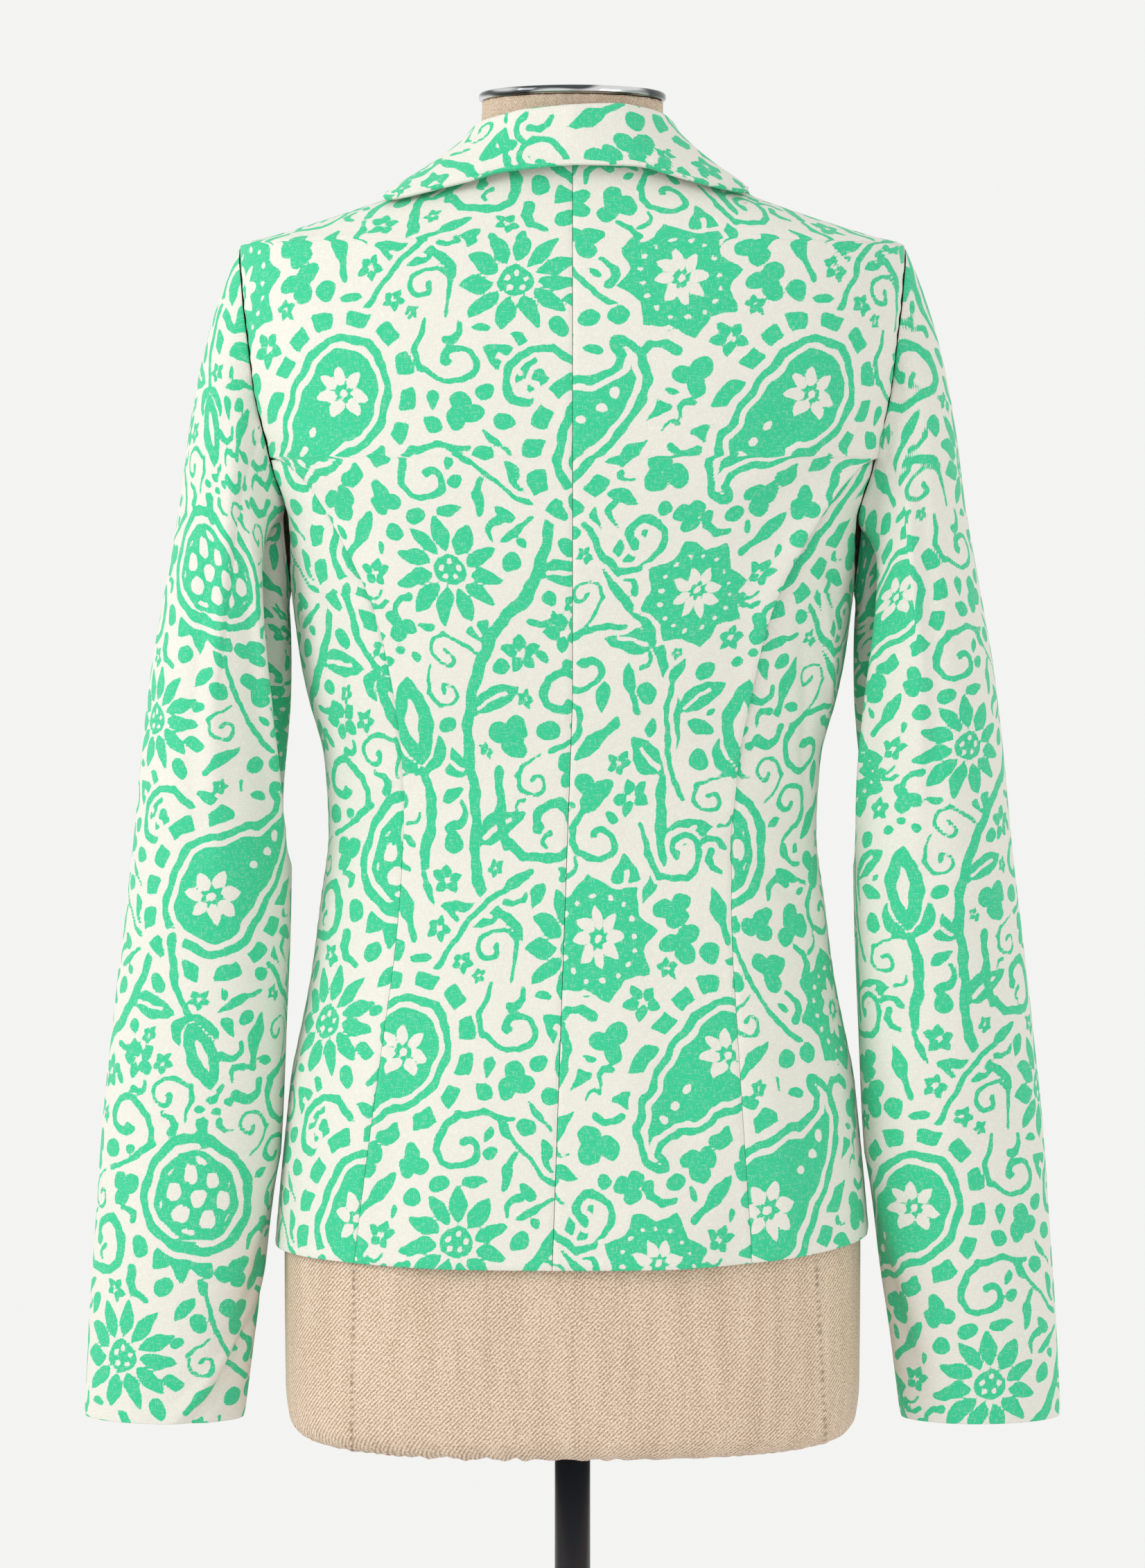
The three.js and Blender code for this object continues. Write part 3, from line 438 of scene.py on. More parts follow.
# Collar, centre back to gorge end: neck seam on the body, roll line in space, outer edge on the body
COLLAR_GUIDES = table(
    "along seam_angle seam_z roll_x roll_y roll_z edge_angle edge_z lift radius ease",
    (0, 0, 1407, 0, 57.5, 1437, 0, 1401.8, 9, 3, 0.4),
    (0.145, 0.278, 1407, 24, 52, 1436.2, 0.35, 1398.8, 8.5, 3, 0.4),
    (0.2, 0.414, 1407, 31.8, 47.2, 1434.6, 0.49, 1394.6, 7.5, 3, 0.38),
    (0.27, 0.596, 1407, 40, 39.8, 1432.8, 0.65, 1390.2, 6, 2.8, 0.32),
    (0.32, 0.731, 1407, 45, 33, 1431.5, 0.77, 1387.6, 5, 2.7, 0.26),
    (0.37, 0.865, 1407, 49, 25.5, 1429.2, 0.9, 1386.6, 4.2, 2.6, 0.22),
    (0.46, 1.136, 1407, 53, 12, 1423.5, 1.2, 1391, 3.2, 2.5, 0.18),
    (0.54, 1.571, 1407, 54, 0, 1419, 1.571, 1393.8, 2.8, 2.5, 0.18),
    (0.68, 1.866, 1407, 56, -25, 1414.5, 2.05, 1388, 4, 2.6, 0.16),
    (0.8, 2.4, 1399, 60.5, -53, 1407, 2.4, 1375, 5, 2.8, 0.1),
    (0.91, 2.788, 1378, 58, -74, 1383.5, 2.637, 1354, 4.8, 2.6, 0.06),
    (1, 2.9, 1356.5, 54, -84, 1358.5, 2.755, 1336, 4, 2.4, 0.05),
)

# Lapels, break point to gorge: height on the roll line, and the outer edge as seen from the front. Only
# their lower ends differ.
LAPEL_COLUMNS = "along roll_z edge_x edge_z ease"
LAPEL_TOP = (
    (0.46, 1205, 55, 1198, 0.25),
    (0.64, 1250, 75, 1243, 0.25),
    (0.82, 1300, 91, 1284, 0.25),
    (1, 1351.5, 101, 1318, 0.25),
)
RIGHT_LAPEL_GUIDES = table(
    LAPEL_COLUMNS,
    (0, 1092, -4, 1091, 0.25),
    (0.12, 1122, 13, 1117, 0.25),
    (0.28, 1160, 33, 1154, 0.25),
    *LAPEL_TOP,
)
LEFT_LAPEL_GUIDES = table(
    LAPEL_COLUMNS,
    (0, 1154, 14, 1116, 0.04),
    (0.12, 1161, 23, 1134, 0.12),
    (0.28, 1177, 39, 1165, 0.25),
    *LAPEL_TOP,
)


def smooth_table(columns, key):
    """The table as smooth functions of its key column: cubics through every value, whose slope there is
    the harmonic mean of the rises on both sides, or level at a peak."""
    places = columns[key]
    steps = np.diff(places)

    def slopes(values):
        rises = np.diff(values) / steps
        before, after = rises[:-1], rises[1:]
        total = np.where(before + after == 0, 1, before + after)
        between = np.where(before * after <= 0, 0, 2 * before * after / total)
        return np.concatenate([rises[:1], between, rises[-1:]])

    sloped = {name: slopes(values) for name, values in columns.items() if name != key}

    def at(place):
        inside = np.clip(place, places[0], places[-1])
        i = np.clip(np.searchsorted(places, inside, side="right") - 1, 0, len(steps) - 1)
        t = (inside - places[i]) / steps[i]
        found = {}
        for name, slope in sloped.items():
            values = columns[name]
            level = values[i] * (1 + 2 * t) * (1 - t) ** 2 + values[i + 1] * t * t * (3 - 2 * t)
            bend = slope[i] * t * (1 - t) ** 2 + slope[i + 1] * t * t * (t - 1)
            found[name] = level + steps[i] * bend
        return found

    return at


blazer_section = smooth_table(BLAZER_SECTIONS, "height")
form_section = smooth_table(FORM_SECTIONS, "height")
princess_seam = smooth_table(PRINCESS_SEAM, "height")
sleeve_ring = smooth_table(SLEEVE_RINGS, "ring")
collar_guide = smooth_table(COLLAR_GUIDES, "along")


def smooth_step(value, start, end):
    t = np.clip((value - start) / (end - start), 0, 1)
    return t * t * (3 - 2 * t)


def bell(value):
    return np.exp(-value * value)


def signed_power(value, power):
    return np.sign(value) * np.abs(value) ** power


def unit(vectors):
    return vectors / np.maximum(np.linalg.norm(vectors, axis=-1, keepdims=True), 1e-12)


def stacked(x, y, z):
    return np.stack(np.broadcast_arrays(x, y, z), axis=-1).astype(float)


def oval_point(section, angle, height, power):
    """A point of a level oval: half width times the sine, depth times the cosine, both to a power."""
    sine, cosine = np.sin(angle), np.cos(angle)
    depth = np.where(cosine > 0, section["back"], section["front"])
    x = section["half_width"] * signed_power(sine, 2 / power)
    return stacked(x, depth * signed_power(cosine, 2 / power), height)


def smooth_body(angle, height):
    return oval_point(blazer_section(height), angle, height, SECTION_POWER)


def body_normal(angle, height):
    """The rise along the height crossed with the step round the body."""
    round_step = smooth_body(angle + 1e-3, height) - smooth_body(angle - 1e-3, height)
    rise = smooth_body(angle, height + 0.5) - smooth_body(angle, height - 0.5)
    return unit(np.cross(rise, round_step))


def body_fold(angle, height):
    """Sum of the large folds, each a bell across its width; those from the hem fade upwards, and the
    others are a half sine squared along their height."""
    total = np.zeros(np.broadcast(angle, height).shape)
    for middle, low, high, width, depth in zip(*BODY_FOLDS.values()):
        along = np.clip((high - height) / (high - low), 0, 1)
        strength = smooth_step(along, 0, 0.8) if low < HEM_HEIGHT else np.sin(math.pi * along) ** 2
        total += depth * strength * bell((angle - middle) / width)
    return total


def hem_lift(angle, height):
    lift = np.where(angle > 0, HEM_LIFT_LEFT, HEM_LIFT_RIGHT)
    return lift * np.sin(angle) ** 2 * (1 - smooth_step(height, HEM_HEIGHT, HEM_HEIGHT + HEM_LIFT_FADE))


def body_point(angle, height):
    lifted = height + hem_lift(angle, height)
    away = body_fold(angle, height) + body_creases(angle, height)
    return smooth_body(angle, lifted) + body_normal(angle, lifted) * away[..., None]


def back_angle(x, height):
    """The angle at which the back of the body has a given x."""
    share = np.minimum(np.abs(x) / blazer_section(height)["half_width"], 1)
    return np.sign(x) * np.arcsin(share ** (SECTION_POWER / 2))


def front_angle(side, x, height):
    return side * math.pi - back_angle(x, height)


def centre_drift(height):
    """The centre back seam leans to the left side below the waist."""
    share = (CENTRE_DRIFT_TOP - height) / (CENTRE_DRIFT_TOP - HEM_HEIGHT)
    return CENTRE_DRIFT * np.clip(share, 0, 1)


def centre_angle(height):
    return back_angle(centre_drift(height), height)


def princess_angle(side, height):
    return back_angle(side * princess_seam(height)["out"] + centre_drift(height), height)


ARMHOLE_MIDDLE = (UNDERARM_HEIGHT + SHOULDER_HEIGHT) / 2
ARMHOLE_HALF_HEIGHT = (SHOULDER_HEIGHT - UNDERARM_HEIGHT) / 2


def armhole_point(turn):
    """The armhole: a rounded oval on the body, a turn from the underarm up the back to the shoulder."""
    sine = np.sin(turn)
    height = ARMHOLE_MIDDLE - ARMHOLE_HALF_HEIGHT * np.cos(turn)
    section = blazer_section(height)
    reach = np.where(sine > 0, ARMHOLE_BACK, ARMHOLE_FRONT)
    depth = np.where(sine > 0, section["back"], section["front"])
    y = reach * signed_power(sine, ARMHOLE_ROUNDNESS)
    share = 1 - (np.abs(y) / depth) ** SECTION_POWER
    return stacked(section["half_width"] * share ** (1 / SECTION_POWER), y, height)


def armhole_angle(side, behind, height):
    """The angle on the body of the armhole's back or front edge at a height."""
    cosine = np.clip((ARMHOLE_MIDDLE - height) / ARMHOLE_HALF_HEIGHT, -1, 1)
    section = blazer_section(height)
    reach = ARMHOLE_BACK if behind else ARMHOLE_FRONT
    depth = section["back"] if behind else section["front"]
    y = reach * np.sqrt(1 - cosine * cosine) ** ARMHOLE_ROUNDNESS
    from_centre = np.arccos((y / depth) ** (SECTION_POWER / 2))
    return side * (from_centre if behind else math.pi - from_centre)


def outer_angle(side, behind, height):
    """Outer limit of a panel: side seam, armhole, then shoulder seam."""
    outside = (height <= UNDERARM_HEIGHT) | (height >= SHOULDER_HEIGHT)
    return np.where(outside, side * math.pi / 2, armhole_angle(side, behind, height))


def roll_x(height):
    share = (height - BREAK_HEIGHT) / (NECK_HEIGHT - BREAK_HEIGHT)
    return (ROLL_TOP_X + FRONT_OVERLAP) * share - FRONT_OVERLAP


def front_edge_angle(side, height):
    """Front edge up to the break point, with a rounded hem corner, then the roll line."""
    x = np.where(height > BREAK_HEIGHT, roll_x(height), -FRONT_OVERLAP)
    below = np.clip(HEM_CORNER - (height - HEM_HEIGHT), 0, HEM_CORNER)
    return front_angle(side, side * (x + HEM_CORNER - np.sqrt(HEM_CORNER**2 - below**2)), height)


def front_point(side, angle, height):
    """The left front passes under the right one near the middle."""
    point = body_point(angle, height)
    if side > 0:
        across = 1 - smooth_step(point[..., 0], *UNDER_INSET_X)
        point[..., 1] += UNDER_INSET * across * (1 - smooth_step(height, *UNDER_INSET_Z))
    return point


# Small creases of the body, as slanted soft waves: the middle's angle and height, length and width,
# slant from upright towards the left side in degrees, and depth
BODY_CREASES = table(
    "angle height length width slant depth",
    (-0.98, 1124, 60, 7, 24, -2.2),
    (-1.12, 1150, 45, 6, 30, 1.8),
    (-0.8, 1262, 46, 7, -52, 2.0),
    (-0.86, 1244, 40, 6, -55, -2.0),
    (0.98, 1120, 55, 7, -22, -1.8),
    (0.88, 1250, 44, 8, 50, 1.4),
    (0.95, 1228, 40, 7, 48, -1.4),
    (0.3, 1052, 60, 9, -52, 0.7),
    (-0.35, 1040, 70, 9, 50, 1.1),
    (-0.75, 1030, 55, 8, 58, -1.3),
    (0.85, 1048, 50, 8, -60, -1.3),
    (0.8, 1022, 46, 7, -66, 1.1),
    (-0.62, 1062, 46, 7, 62, 0.9),
    (-0.85, 1002, 42, 7, 66, 1.1),
    (-0.12, 880, 90, 12, 4, 1.5),
    (-0.3, 872, 80, 9, 3, -1.2),
    (0.55, 868, 80, 11, -6, -1.5),
    (0.72, 862, 70, 9, -6, 1.2),
    (-0.7, 862, 90, 12, 7, 1.5),
    (1.2, 930, 70, 10, -14, 1.0),
    (-1.25, 940, 80, 10, 12, -1.0),
    (0.5, 1330, 70, 14, 70, -0.8),
    (-0.5, 1322, 80, 14, -68, -0.9),
    (2.5, 1040, 60, 9, 50, 0.9),
    (-2.5, 1050, 60, 9, -50, -0.9),
    (2.2, 1110, 55, 9, 30, -1.1),
    (-2.2, 1118, 55, 9, -30, 1.0),
    (2.8, 900, 90, 11, 5, 0.9),
    (-2.75, 890, 90, 11, -5, 0.9),
)
BODY_RADIUS = 130


def crease(aside, above, length, width, slant, depth):
    """A small crease at distances from its middle: a bell across its line and a wider bell along it."""
    sine, cosine = math.sin(math.radians(slant)), math.cos(math.radians(slant))
    across = aside * cosine - above * sine
    along = aside * sine + above * cosine
    return depth * bell(across / width) * bell(along / length)


def body_creases(angle, height):
    total = np.zeros(np.broadcast(angle, height).shape)
    for middle, level, *shape in zip(*BODY_CREASES.values()):
        total += crease((angle - middle) * BODY_RADIUS, height - level, *shape)
    return total


def grid_normals(grid, closed):
    """Normals of a grid of points, from the differences between neighbours."""
    if closed:
        across = np.roll(grid, -1, axis=1) - np.roll(grid, 1, axis=1)
    else:
        across = np.gradient(grid, axis=1)
    return unit(np.cross(across, np.gradient(grid, axis=0)))


def run_lengths(grid, axis):
    """Length along the grid's lines from its first row or column."""
    steps = np.linalg.norm(np.diff(grid, axis=axis), axis=-1)
    start = np.zeros_like(np.take(steps, [0], axis=axis))
    return np.concatenate([start, np.cumsum(steps, axis=axis)], axis=axis)


def flat_pattern(grid):
    """The piece laid flat: a thinned net of it, starting from lengths along its rows and its middle
    column, whose neighbours and diagonals pull each other to their true distances."""
    rows = np.unique(np.linspace(0, len(grid) - 1, FLAT_ROWS).astype(int))
    columns = np.unique(np.linspace(0, len(grid[0]) - 1, FLAT_COLUMNS).astype(int))
    net = grid[np.ix_(rows, columns)]
    middle = len(columns) // 2
    across = run_lengths(net, 1)
    up = run_lengths(net, 0)[:, middle : middle + 1]
    from_middle = across - across[:, middle : middle + 1]
    flat = np.stack([from_middle, np.broadcast_to(up, across.shape)], axis=-1)
    first_ones, last_ones, every = slice(0, -1), slice(1, None), slice(None)
    ties = [
        ((every, first_ones), (every, last_ones)),
        ((first_ones, every), (last_ones, every)),
        ((first_ones, first_ones), (last_ones, last_ones)),
        ((first_ones, last_ones), (last_ones, first_ones)),
    ]
    true = [np.linalg.norm(net[second] - net[first], axis=-1) for first, second in ties]
    weight = np.zeros(across.shape)
    for first, second in ties:
        weight[first] += 1
        weight[second] += 1
    for _ in range(FLAT_ROUNDS):
        pull = np.zeros_like(flat)
        for (first, second), length in zip(ties, true):
            away = flat[second] - flat[first]
            now = np.maximum(np.linalg.norm(away, axis=-1), 1e-9)
            change = away * ((now - length) / now / 2)[..., None]
            pull[first] += change
            pull[second] -= change
        flat += pull / weight[..., None]
    row_places = run_lengths(grid, 0)[:, len(grid[0]) // 2]
    column_places = run_lengths(grid, 1)[len(grid) // 2]
    return resampled(flat, rows, columns, row_places, column_places)


def resampled(net, rows, columns, row_places, column_places):
    """A thinned net's values at every point of the full grid, by the lengths along its middle lines."""
    by_row = np.empty((len(row_places), len(columns), 2))
    full = np.empty((len(row_places), len(column_places), 2))
    for k in range(2):
        for j in range(len(columns)):
            by_row[:, j, k] = np.interp(row_places, row_places[rows], net[:, j, k])
        for i in range(len(row_places)):
            full[i, :, k] = np.interp(column_places, column_places[columns], by_row[i, :, k])
    return full


def material(name):
    made = bpy.data.materials.new(name)
    made.use_nodes = True
    return made, made.node_tree.nodes, made.node_tree.links, made.node_tree.nodes["Principled BSDF"]


def quads(index, flip):
    """Faces of four between the neighbouring points of a grid."""
    corners = [index[:-1, :-1], index[:-1, 1:], index[1:, 1:], index[1:, :-1]]
    return np.stack(corners[::-1] if flip else corners, axis=-1).reshape(-1, 4)


def shell_mesh(name, outer, normals, closed, ink, cloth_uv):
    """A closed wall of cloth: the fine visible face, an inner face a cloth's thickness in with one point
    in every few, and a rim whose faces each join a coarse step to the fine steps beside it."""
    rows, columns = outer.shape[:2]
    k = INNER_STRIDE
    keep_rows = np.arange(0, rows, k)
    keep_columns = np.arange(0, columns + (1 if closed else 0), k)
    fine = np.arange(rows)[:, None] * columns + np.arange(columns + (1 if closed else 0)) % columns
    inner_columns = len(keep_columns) - (1 if closed else 0)
    coarse = (
        rows * columns
        + np.arange(len(keep_rows))[:, None] * inner_columns
        + np.arange(len(keep_columns)) % inner_columns
    )
    inner = outer[np.ix_(keep_rows, keep_columns[:inner_columns])]
    inner = inner - CLOTH * normals[np.ix_(keep_rows, keep_columns[:inner_columns])]
    points = np.concatenate([outer.reshape(-1, 3), inner.reshape(-1, 3)]) * MM

    def rim(fine_line, coarse_line, flip):
        steps = np.arange(len(coarse_line) - 1)
        fine_part = fine_line[steps[:, None] * k + np.arange(k + 1)]
        faces = np.concatenate([fine_part, coarse_line[1:, None], coarse_line[:-1, None]], axis=1)
        return faces[:, ::-1] if flip else faces

    rims = [rim(fine[0], coarse[0], True), rim(fine[-1], coarse[-1], False)]
    if not closed:
        rims += [rim(fine[:, 0], coarse[:, 0], False), rim(fine[:, -1], coarse[:, -1], True)]
    groups = [quads(fine, False), quads(coarse, True), *rims]
    mesh = mesh_of(name, points, groups)

    grid_of_point = np.full((len(points), 2), 0)
    grid_of_point[: rows * columns] = np.stack(
        np.meshgrid(np.arange(rows), np.arange(columns), indexing="ij"), axis=-1
    ).reshape(-1, 2)
    grid_of_point[rows * columns :] = np.stack(
        np.meshgrid(keep_rows, keep_columns[:inner_columns], indexing="ij"), axis=-1
    ).reshape(-1, 2)
    corners = np.concatenate([group.ravel() for group in groups])
    face_size = np.concatenate([np.full(len(group), group.shape[1]) for group in groups])
    places = grid_of_point[corners]
    if closed:
        starts = np.concatenate([[0], np.cumsum(face_size)[:-1]])
        top = np.maximum.reduceat(places[:, 1], starts)
        wraps = np.repeat(top > columns - k - 1, face_size) & (places[:, 1] == 0)
        places[wraps, 1] = columns
    uv = mesh.uv_layers.new(name="cloth")
    uv.data.foreach_set("uv", cloth_uv[places[:, 0], places[:, 1]].astype(np.float32).ravel())
    inner_ink = ink[np.ix_(keep_rows, keep_columns[:inner_columns])].copy()
    inner_ink[1:-1, slice(None) if closed else slice(1, -1)] = -INK_REACH
    attribute = mesh.attributes.new("ink", "FLOAT", "POINT")
    every_ink = np.concatenate([ink.ravel(), inner_ink.ravel()])
    attribute.data.foreach_set("value", every_ink.astype(np.float32))
    return mesh


def mesh_of(name, points, groups):
    """A mesh from points in metres and groups of faces of one size each."""
    mesh = bpy.data.meshes.new(name)
    mesh.vertices.add(len(points))
    mesh.vertices.foreach_set("co", points.astype(np.float32).ravel())
    corners = np.concatenate([group.ravel() for group in groups]).astype(np.int32)
    sizes = np.concatenate([np.full(len(group), group.shape[1]) for group in groups])
    starts = np.concatenate([[0], np.cumsum(sizes)[:-1]]).astype(np.int32)
    mesh.loops.add(len(corners))
    mesh.loops.foreach_set("vertex_index", corners)
    mesh.polygons.add(len(sizes))
    mesh.polygons.foreach_set("loop_start", starts)
    mesh.polygons.foreach_set("use_smooth", np.ones(len(sizes), bool))
    mesh.update(calc_edges=True)
    mesh.validate()
    return mesh


def facing_out(points, groups):
    """The same groups of faces, turned round where the closed body they make faces inwards."""
    volume = 0.0
    for group in groups:
        for j in range(1, group.shape[1] - 1):
            a, b, c = points[group[:, 0]], points[group[:, j]], points[group[:, j + 1]]
            volume += (a * np.cross(b, c)).sum()
    return groups if volume > 0 else [group[:, ::-1] for group in groups]


def add_piece(name, mesh, finish, slot, *nodes):
    piece = bpy.data.objects.new(name, mesh)
    bpy.context.scene.collection.objects.link(piece)
    mesh.materials.append(finish)
    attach(piece, "root")
    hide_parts(*nodes)
    return piece


def in_fours(rows):
    """The same rows with a few more between two of them, so that their steps divide by the stride."""
    short = -(len(rows) - 1) % INNER_STRIDE
    first = len(rows) // 3
    extra = (rows[first : first + short] + rows[first + 1 : first + 1 + short]) / 2
    return np.sort(np.concatenate([rows, extra]))


def even(start, end, step):
    """Places from start to end in equal steps of at most the one given."""
    return np.linspace(start, end, int(math.ceil((end - start) / step)) + 1)


def body_rows():
    """Heights from hem to neck: even, but closer at the hem, where the armhole's edge is almost level
    and up the slope of the shoulder."""
    parts = [
        HEM_HEIGHT + np.array([0, *EDGE_STEPS[:-1]]),
        even(HEM_HEIGHT + EDGE_STEPS[-1], UNDERARM_HEIGHT, CLOTH_STEP),
        UNDERARM_HEIGHT + np.array(LEVEL_EDGE_STEPS[:-1]),
        even(UNDERARM_HEIGHT + LEVEL_EDGE_STEPS[-1], SHOULDER_HEIGHT - LEVEL_EDGE_STEPS[-1], CLOTH_STEP),
        SHOULDER_HEIGHT - np.array(LEVEL_EDGE_STEPS[-2::-1]),
        even(SHOULDER_HEIGHT, NECK_HEIGHT, CLOTH_STEP * SHOULDER_CROWDING),
    ]
    return np.concatenate(parts)


def graded(width, step=CLOTH_STEP, both=True):
    """Shares from 0 to 1 across a width in even steps, the last few before an edge crowded."""
    crowd = np.array([0, *EDGE_STEPS[:-1]])
    last = EDGE_STEPS[-1]
    start = crowd if both else np.array([])
    middle = even(last if both else 0, width - last, step)
    return in_fours(np.concatenate([start, middle, width - crowd[::-1]])) / width


def panel_grid(heights, from_angle, to_angle, point_at):
    """Rows of points from one seam to the other in even steps of length, each row half a seam gap short
    of both seams."""
    ends = from_angle(heights)[:, None], to_angle(heights)[:, None]
    share = (1 - np.cos(np.linspace(0, math.pi, LENGTH_SAMPLES))) / 2
    angles = ends[0] + (ends[1] - ends[0]) * share
    lengths = run_lengths(smooth_body(angles, heights[:, None]), 1)
    columns = graded(lengths[:, -1].max())
    rows = [
        np.interp(SEAM_GAP / 2 + columns * (along[-1] - SEAM_GAP), along, angle)
        for along, angle in zip(lengths, angles)
    ]
    found = np.array(rows)
    return point_at(found, heights[:, None]), body_normal(found, heights[:, None])


def back_panel(side):
    def limit(height):
        below = height < PRINCESS_TOP
        return np.where(below, princess_angle(side, height), outer_angle(side, True, height))

    return panel_grid(in_fours(body_rows()), centre_angle, limit, body_point)


def side_back_panel(side):
    rows = body_rows()
    rows = in_fours(rows[rows < PRINCESS_TOP - PRINCESS_TIP])
    return panel_grid(
        rows, lambda z: princess_angle(side, z), lambda z: outer_angle(side, True, z), body_point
    )


def front_panel(side):
    return panel_grid(
        in_fours(body_rows()),
        lambda z: outer_angle(side, False, z),
        lambda z: front_edge_angle(side, z),
        lambda angle, z: front_point(side, angle, z),
    )


def folded_grid(guide, fall_width):
    """A strip folded back on itself: a stand from the seam, an arc outwards over the roll line, then a
    fall that leaves the arc in line with the stand and eases to its outer edge. Its visible face is half
    the cloth's thickness off this middle surface."""
    seam, roll, edge = guide["seam"], guide["roll"], guide["edge"]
    radius, ease = guide["radius"][:, None], guide["ease"][:, None]
    up = unit(roll - seam)
    out = unit(np.cross(np.gradient(roll, axis=0), up))
    out = out * np.sign((out * guide["outward"]).sum(axis=-1, keepdims=True))
    centre = roll + (out - up) * radius
    stand_width = np.linalg.norm(roll - seam, axis=-1).mean()
    stand_steps = even(0, 1, CLOTH_STEP / stand_width)[:-1, None, None]
    stand = seam + (centre - out * radius - seam) * stand_steps
    turns = np.linspace(0, math.pi, FOLD_ARC_STEPS + 1)[:, None, None]
    arc = centre + radius * (up * np.sin(turns) - out * np.cos(turns))
    start = arc[-1]
    control = start - up * ease * np.linalg.norm(start - edge, axis=-1, keepdims=True)
    t = graded(fall_width, both=False)[1:, None, None]
    fall = start * (1 - t) ** 2 + 2 * control * t * (1 - t) + edge * t * t
    grid = np.concatenate([stand, arc, fall]).transpose(1, 0, 2)
    spare = (grid.shape[1] - 1) % INNER_STRIDE
    kept = np.delete(np.arange(grid.shape[1]), range(2, 2 + spare)) if spare else slice(None)
    grid = grid[:, kept]
    normals = grid_normals(grid, False)
    middle = len(grid) // 2
    arc_middle = len(stand) - spare + FOLD_ARC_STEPS // 2
    normals *= np.sign((normals[middle, arc_middle] * up[middle]).sum())
    return grid + normals * CLOTH / 2, normals


def collar_grid():
    """Rows run from the right gorge over the centre back to the left gorge."""
    along = graded(COLLAR_LENGTH) * 2 - 1
    side = np.where(along < 0, -1, 1)
    row = collar_guide(np.abs(along))
    seam_normal = body_normal(side * row["seam_angle"], row["seam_z"])
    drop = side * COLLAR_TILT * np.sin(math.pi * np.minimum(np.abs(along) / COLLAR_TILT_END, 1))
    roll = stacked(side * row["roll_x"], row["roll_y"], row["roll_z"] - drop)
    seam = smooth_body(side * row["seam_angle"], row["seam_z"]) - seam_normal * CLOTH / 2
    seam = seam + unit(roll - seam) * COLLAR_SEAM_LIFT
    edge_angle = side * row["edge_angle"]
    edge_z = row["edge_z"] - drop
    edge = smooth_body(edge_angle, edge_z)
    edge = edge + body_normal(edge_angle, edge_z) * row["lift"][:, None]
    guide = {"seam": seam, "roll": roll, "edge": edge, "radius": row["radius"], "ease": row["ease"]}
    return folded_grid({**guide, "outward": seam_normal}, COLLAR_FALL)


def lapel_grid(side):
    along = graded(LAPEL_LENGTH)
    row = smooth_table(LEFT_LAPEL_GUIDES if side > 0 else RIGHT_LAPEL_GUIDES, "along")(along)
    roll_z = row["roll_z"]
    angle = front_angle(side, side * roll_x(roll_z), roll_z)
    normal = body_normal(angle, roll_z)
    surface = front_point(side, angle, roll_z)
    ahead = front_point(side, front_angle(side, side * (roll_x(roll_z) - LAPEL_AHEAD), roll_z), roll_z)
    turn = unit(ahead - surface)
    seam = surface - normal * CLOTH / 2 + turn * LAPEL_SEAM_GAP
    edge_angle = front_angle(side, side * row["edge_x"], row["edge_z"])
    edge = front_point(side, edge_angle, row["edge_z"])
    edge = edge + body_normal(edge_angle, row["edge_z"]) * LAPEL_LIFT
    guide = {"seam": seam, "roll": seam + turn * LAPEL_TURN, "edge": edge, "ease": row["ease"]}
    guide["radius"] = np.full(len(along), LAPEL_RADIUS)
    return folded_grid({**guide, "outward": normal}, LAPEL_FALL)


def shortest_turn(away):
    """The same turn as the shorter way round, forwards or back."""
    return np.arctan2(np.sin(away), np.cos(away))


def sleeve_fold(folds, turn, height):
    """Sum of a sleeve's folds, each a half sine along its height and a bell across its width."""
    total = np.zeros(np.broadcast(turn, height).shape)
    for high, high_turn, low, low_turn, width, depth in zip(*folds.values()):
        along = np.clip((high - height) / (high - low), 0, 1)
        away = shortest_turn(turn - (high_turn + (low_turn - high_turn) * along))
        total += depth * np.sin(math.pi * along) * bell(away / width)
    return total


def sleeve_creases(side, turn, height):
    total = np.zeros(np.broadcast(turn, height).shape)
    for on, middle, level, *shape in zip(*SLEEVE_CREASES.values()):
        if on == side:
            total += crease(shortest_turn(turn - middle) * SLEEVE_RADIUS, height - level, *shape)
    return total


def ring_point(row, turn):
    inward = (1 + np.cos(turn)) / 2
    x = row["inner_x"] * inward + row["outer_x"] * (1 - inward) - row["lean"] * np.sin(turn)
    z = row["inner_z"] * inward + row["outer_z"] * (1 - inward)
    return stacked(x, row["middle"] + row["depth"] * np.sin(turn), z)


def sleeve_point(side, ring, turn):
    """The oval ring, plus what is left of the armhole's own shape near the armhole, then the folds as a
    push away from the ring's middle."""
    row = sleeve_ring(ring)
    point = ring_point(row, turn)
    centre = (ring_point(row, math.pi / 2) + ring_point(row, -math.pi / 2)) / 2
    left = 1 - smooth_step(ring, 0, SLEEVE_BLEND_RINGS)
    difference = armhole_point(turn) - ring_point(sleeve_ring(np.zeros_like(ring)), turn)
    point = point + difference * left[..., None]
    push = sleeve_creases(side, turn, point[..., 2])
    for folds in (SLEEVE_FOLDS, SLEEVE_SHARP_FOLDS[side]):
        push = push + sleeve_fold(folds, turn, point[..., 2])
    point = point + unit(point - centre) * push[..., None]
    point[..., 0] += SLEEVE_GAP
    return point


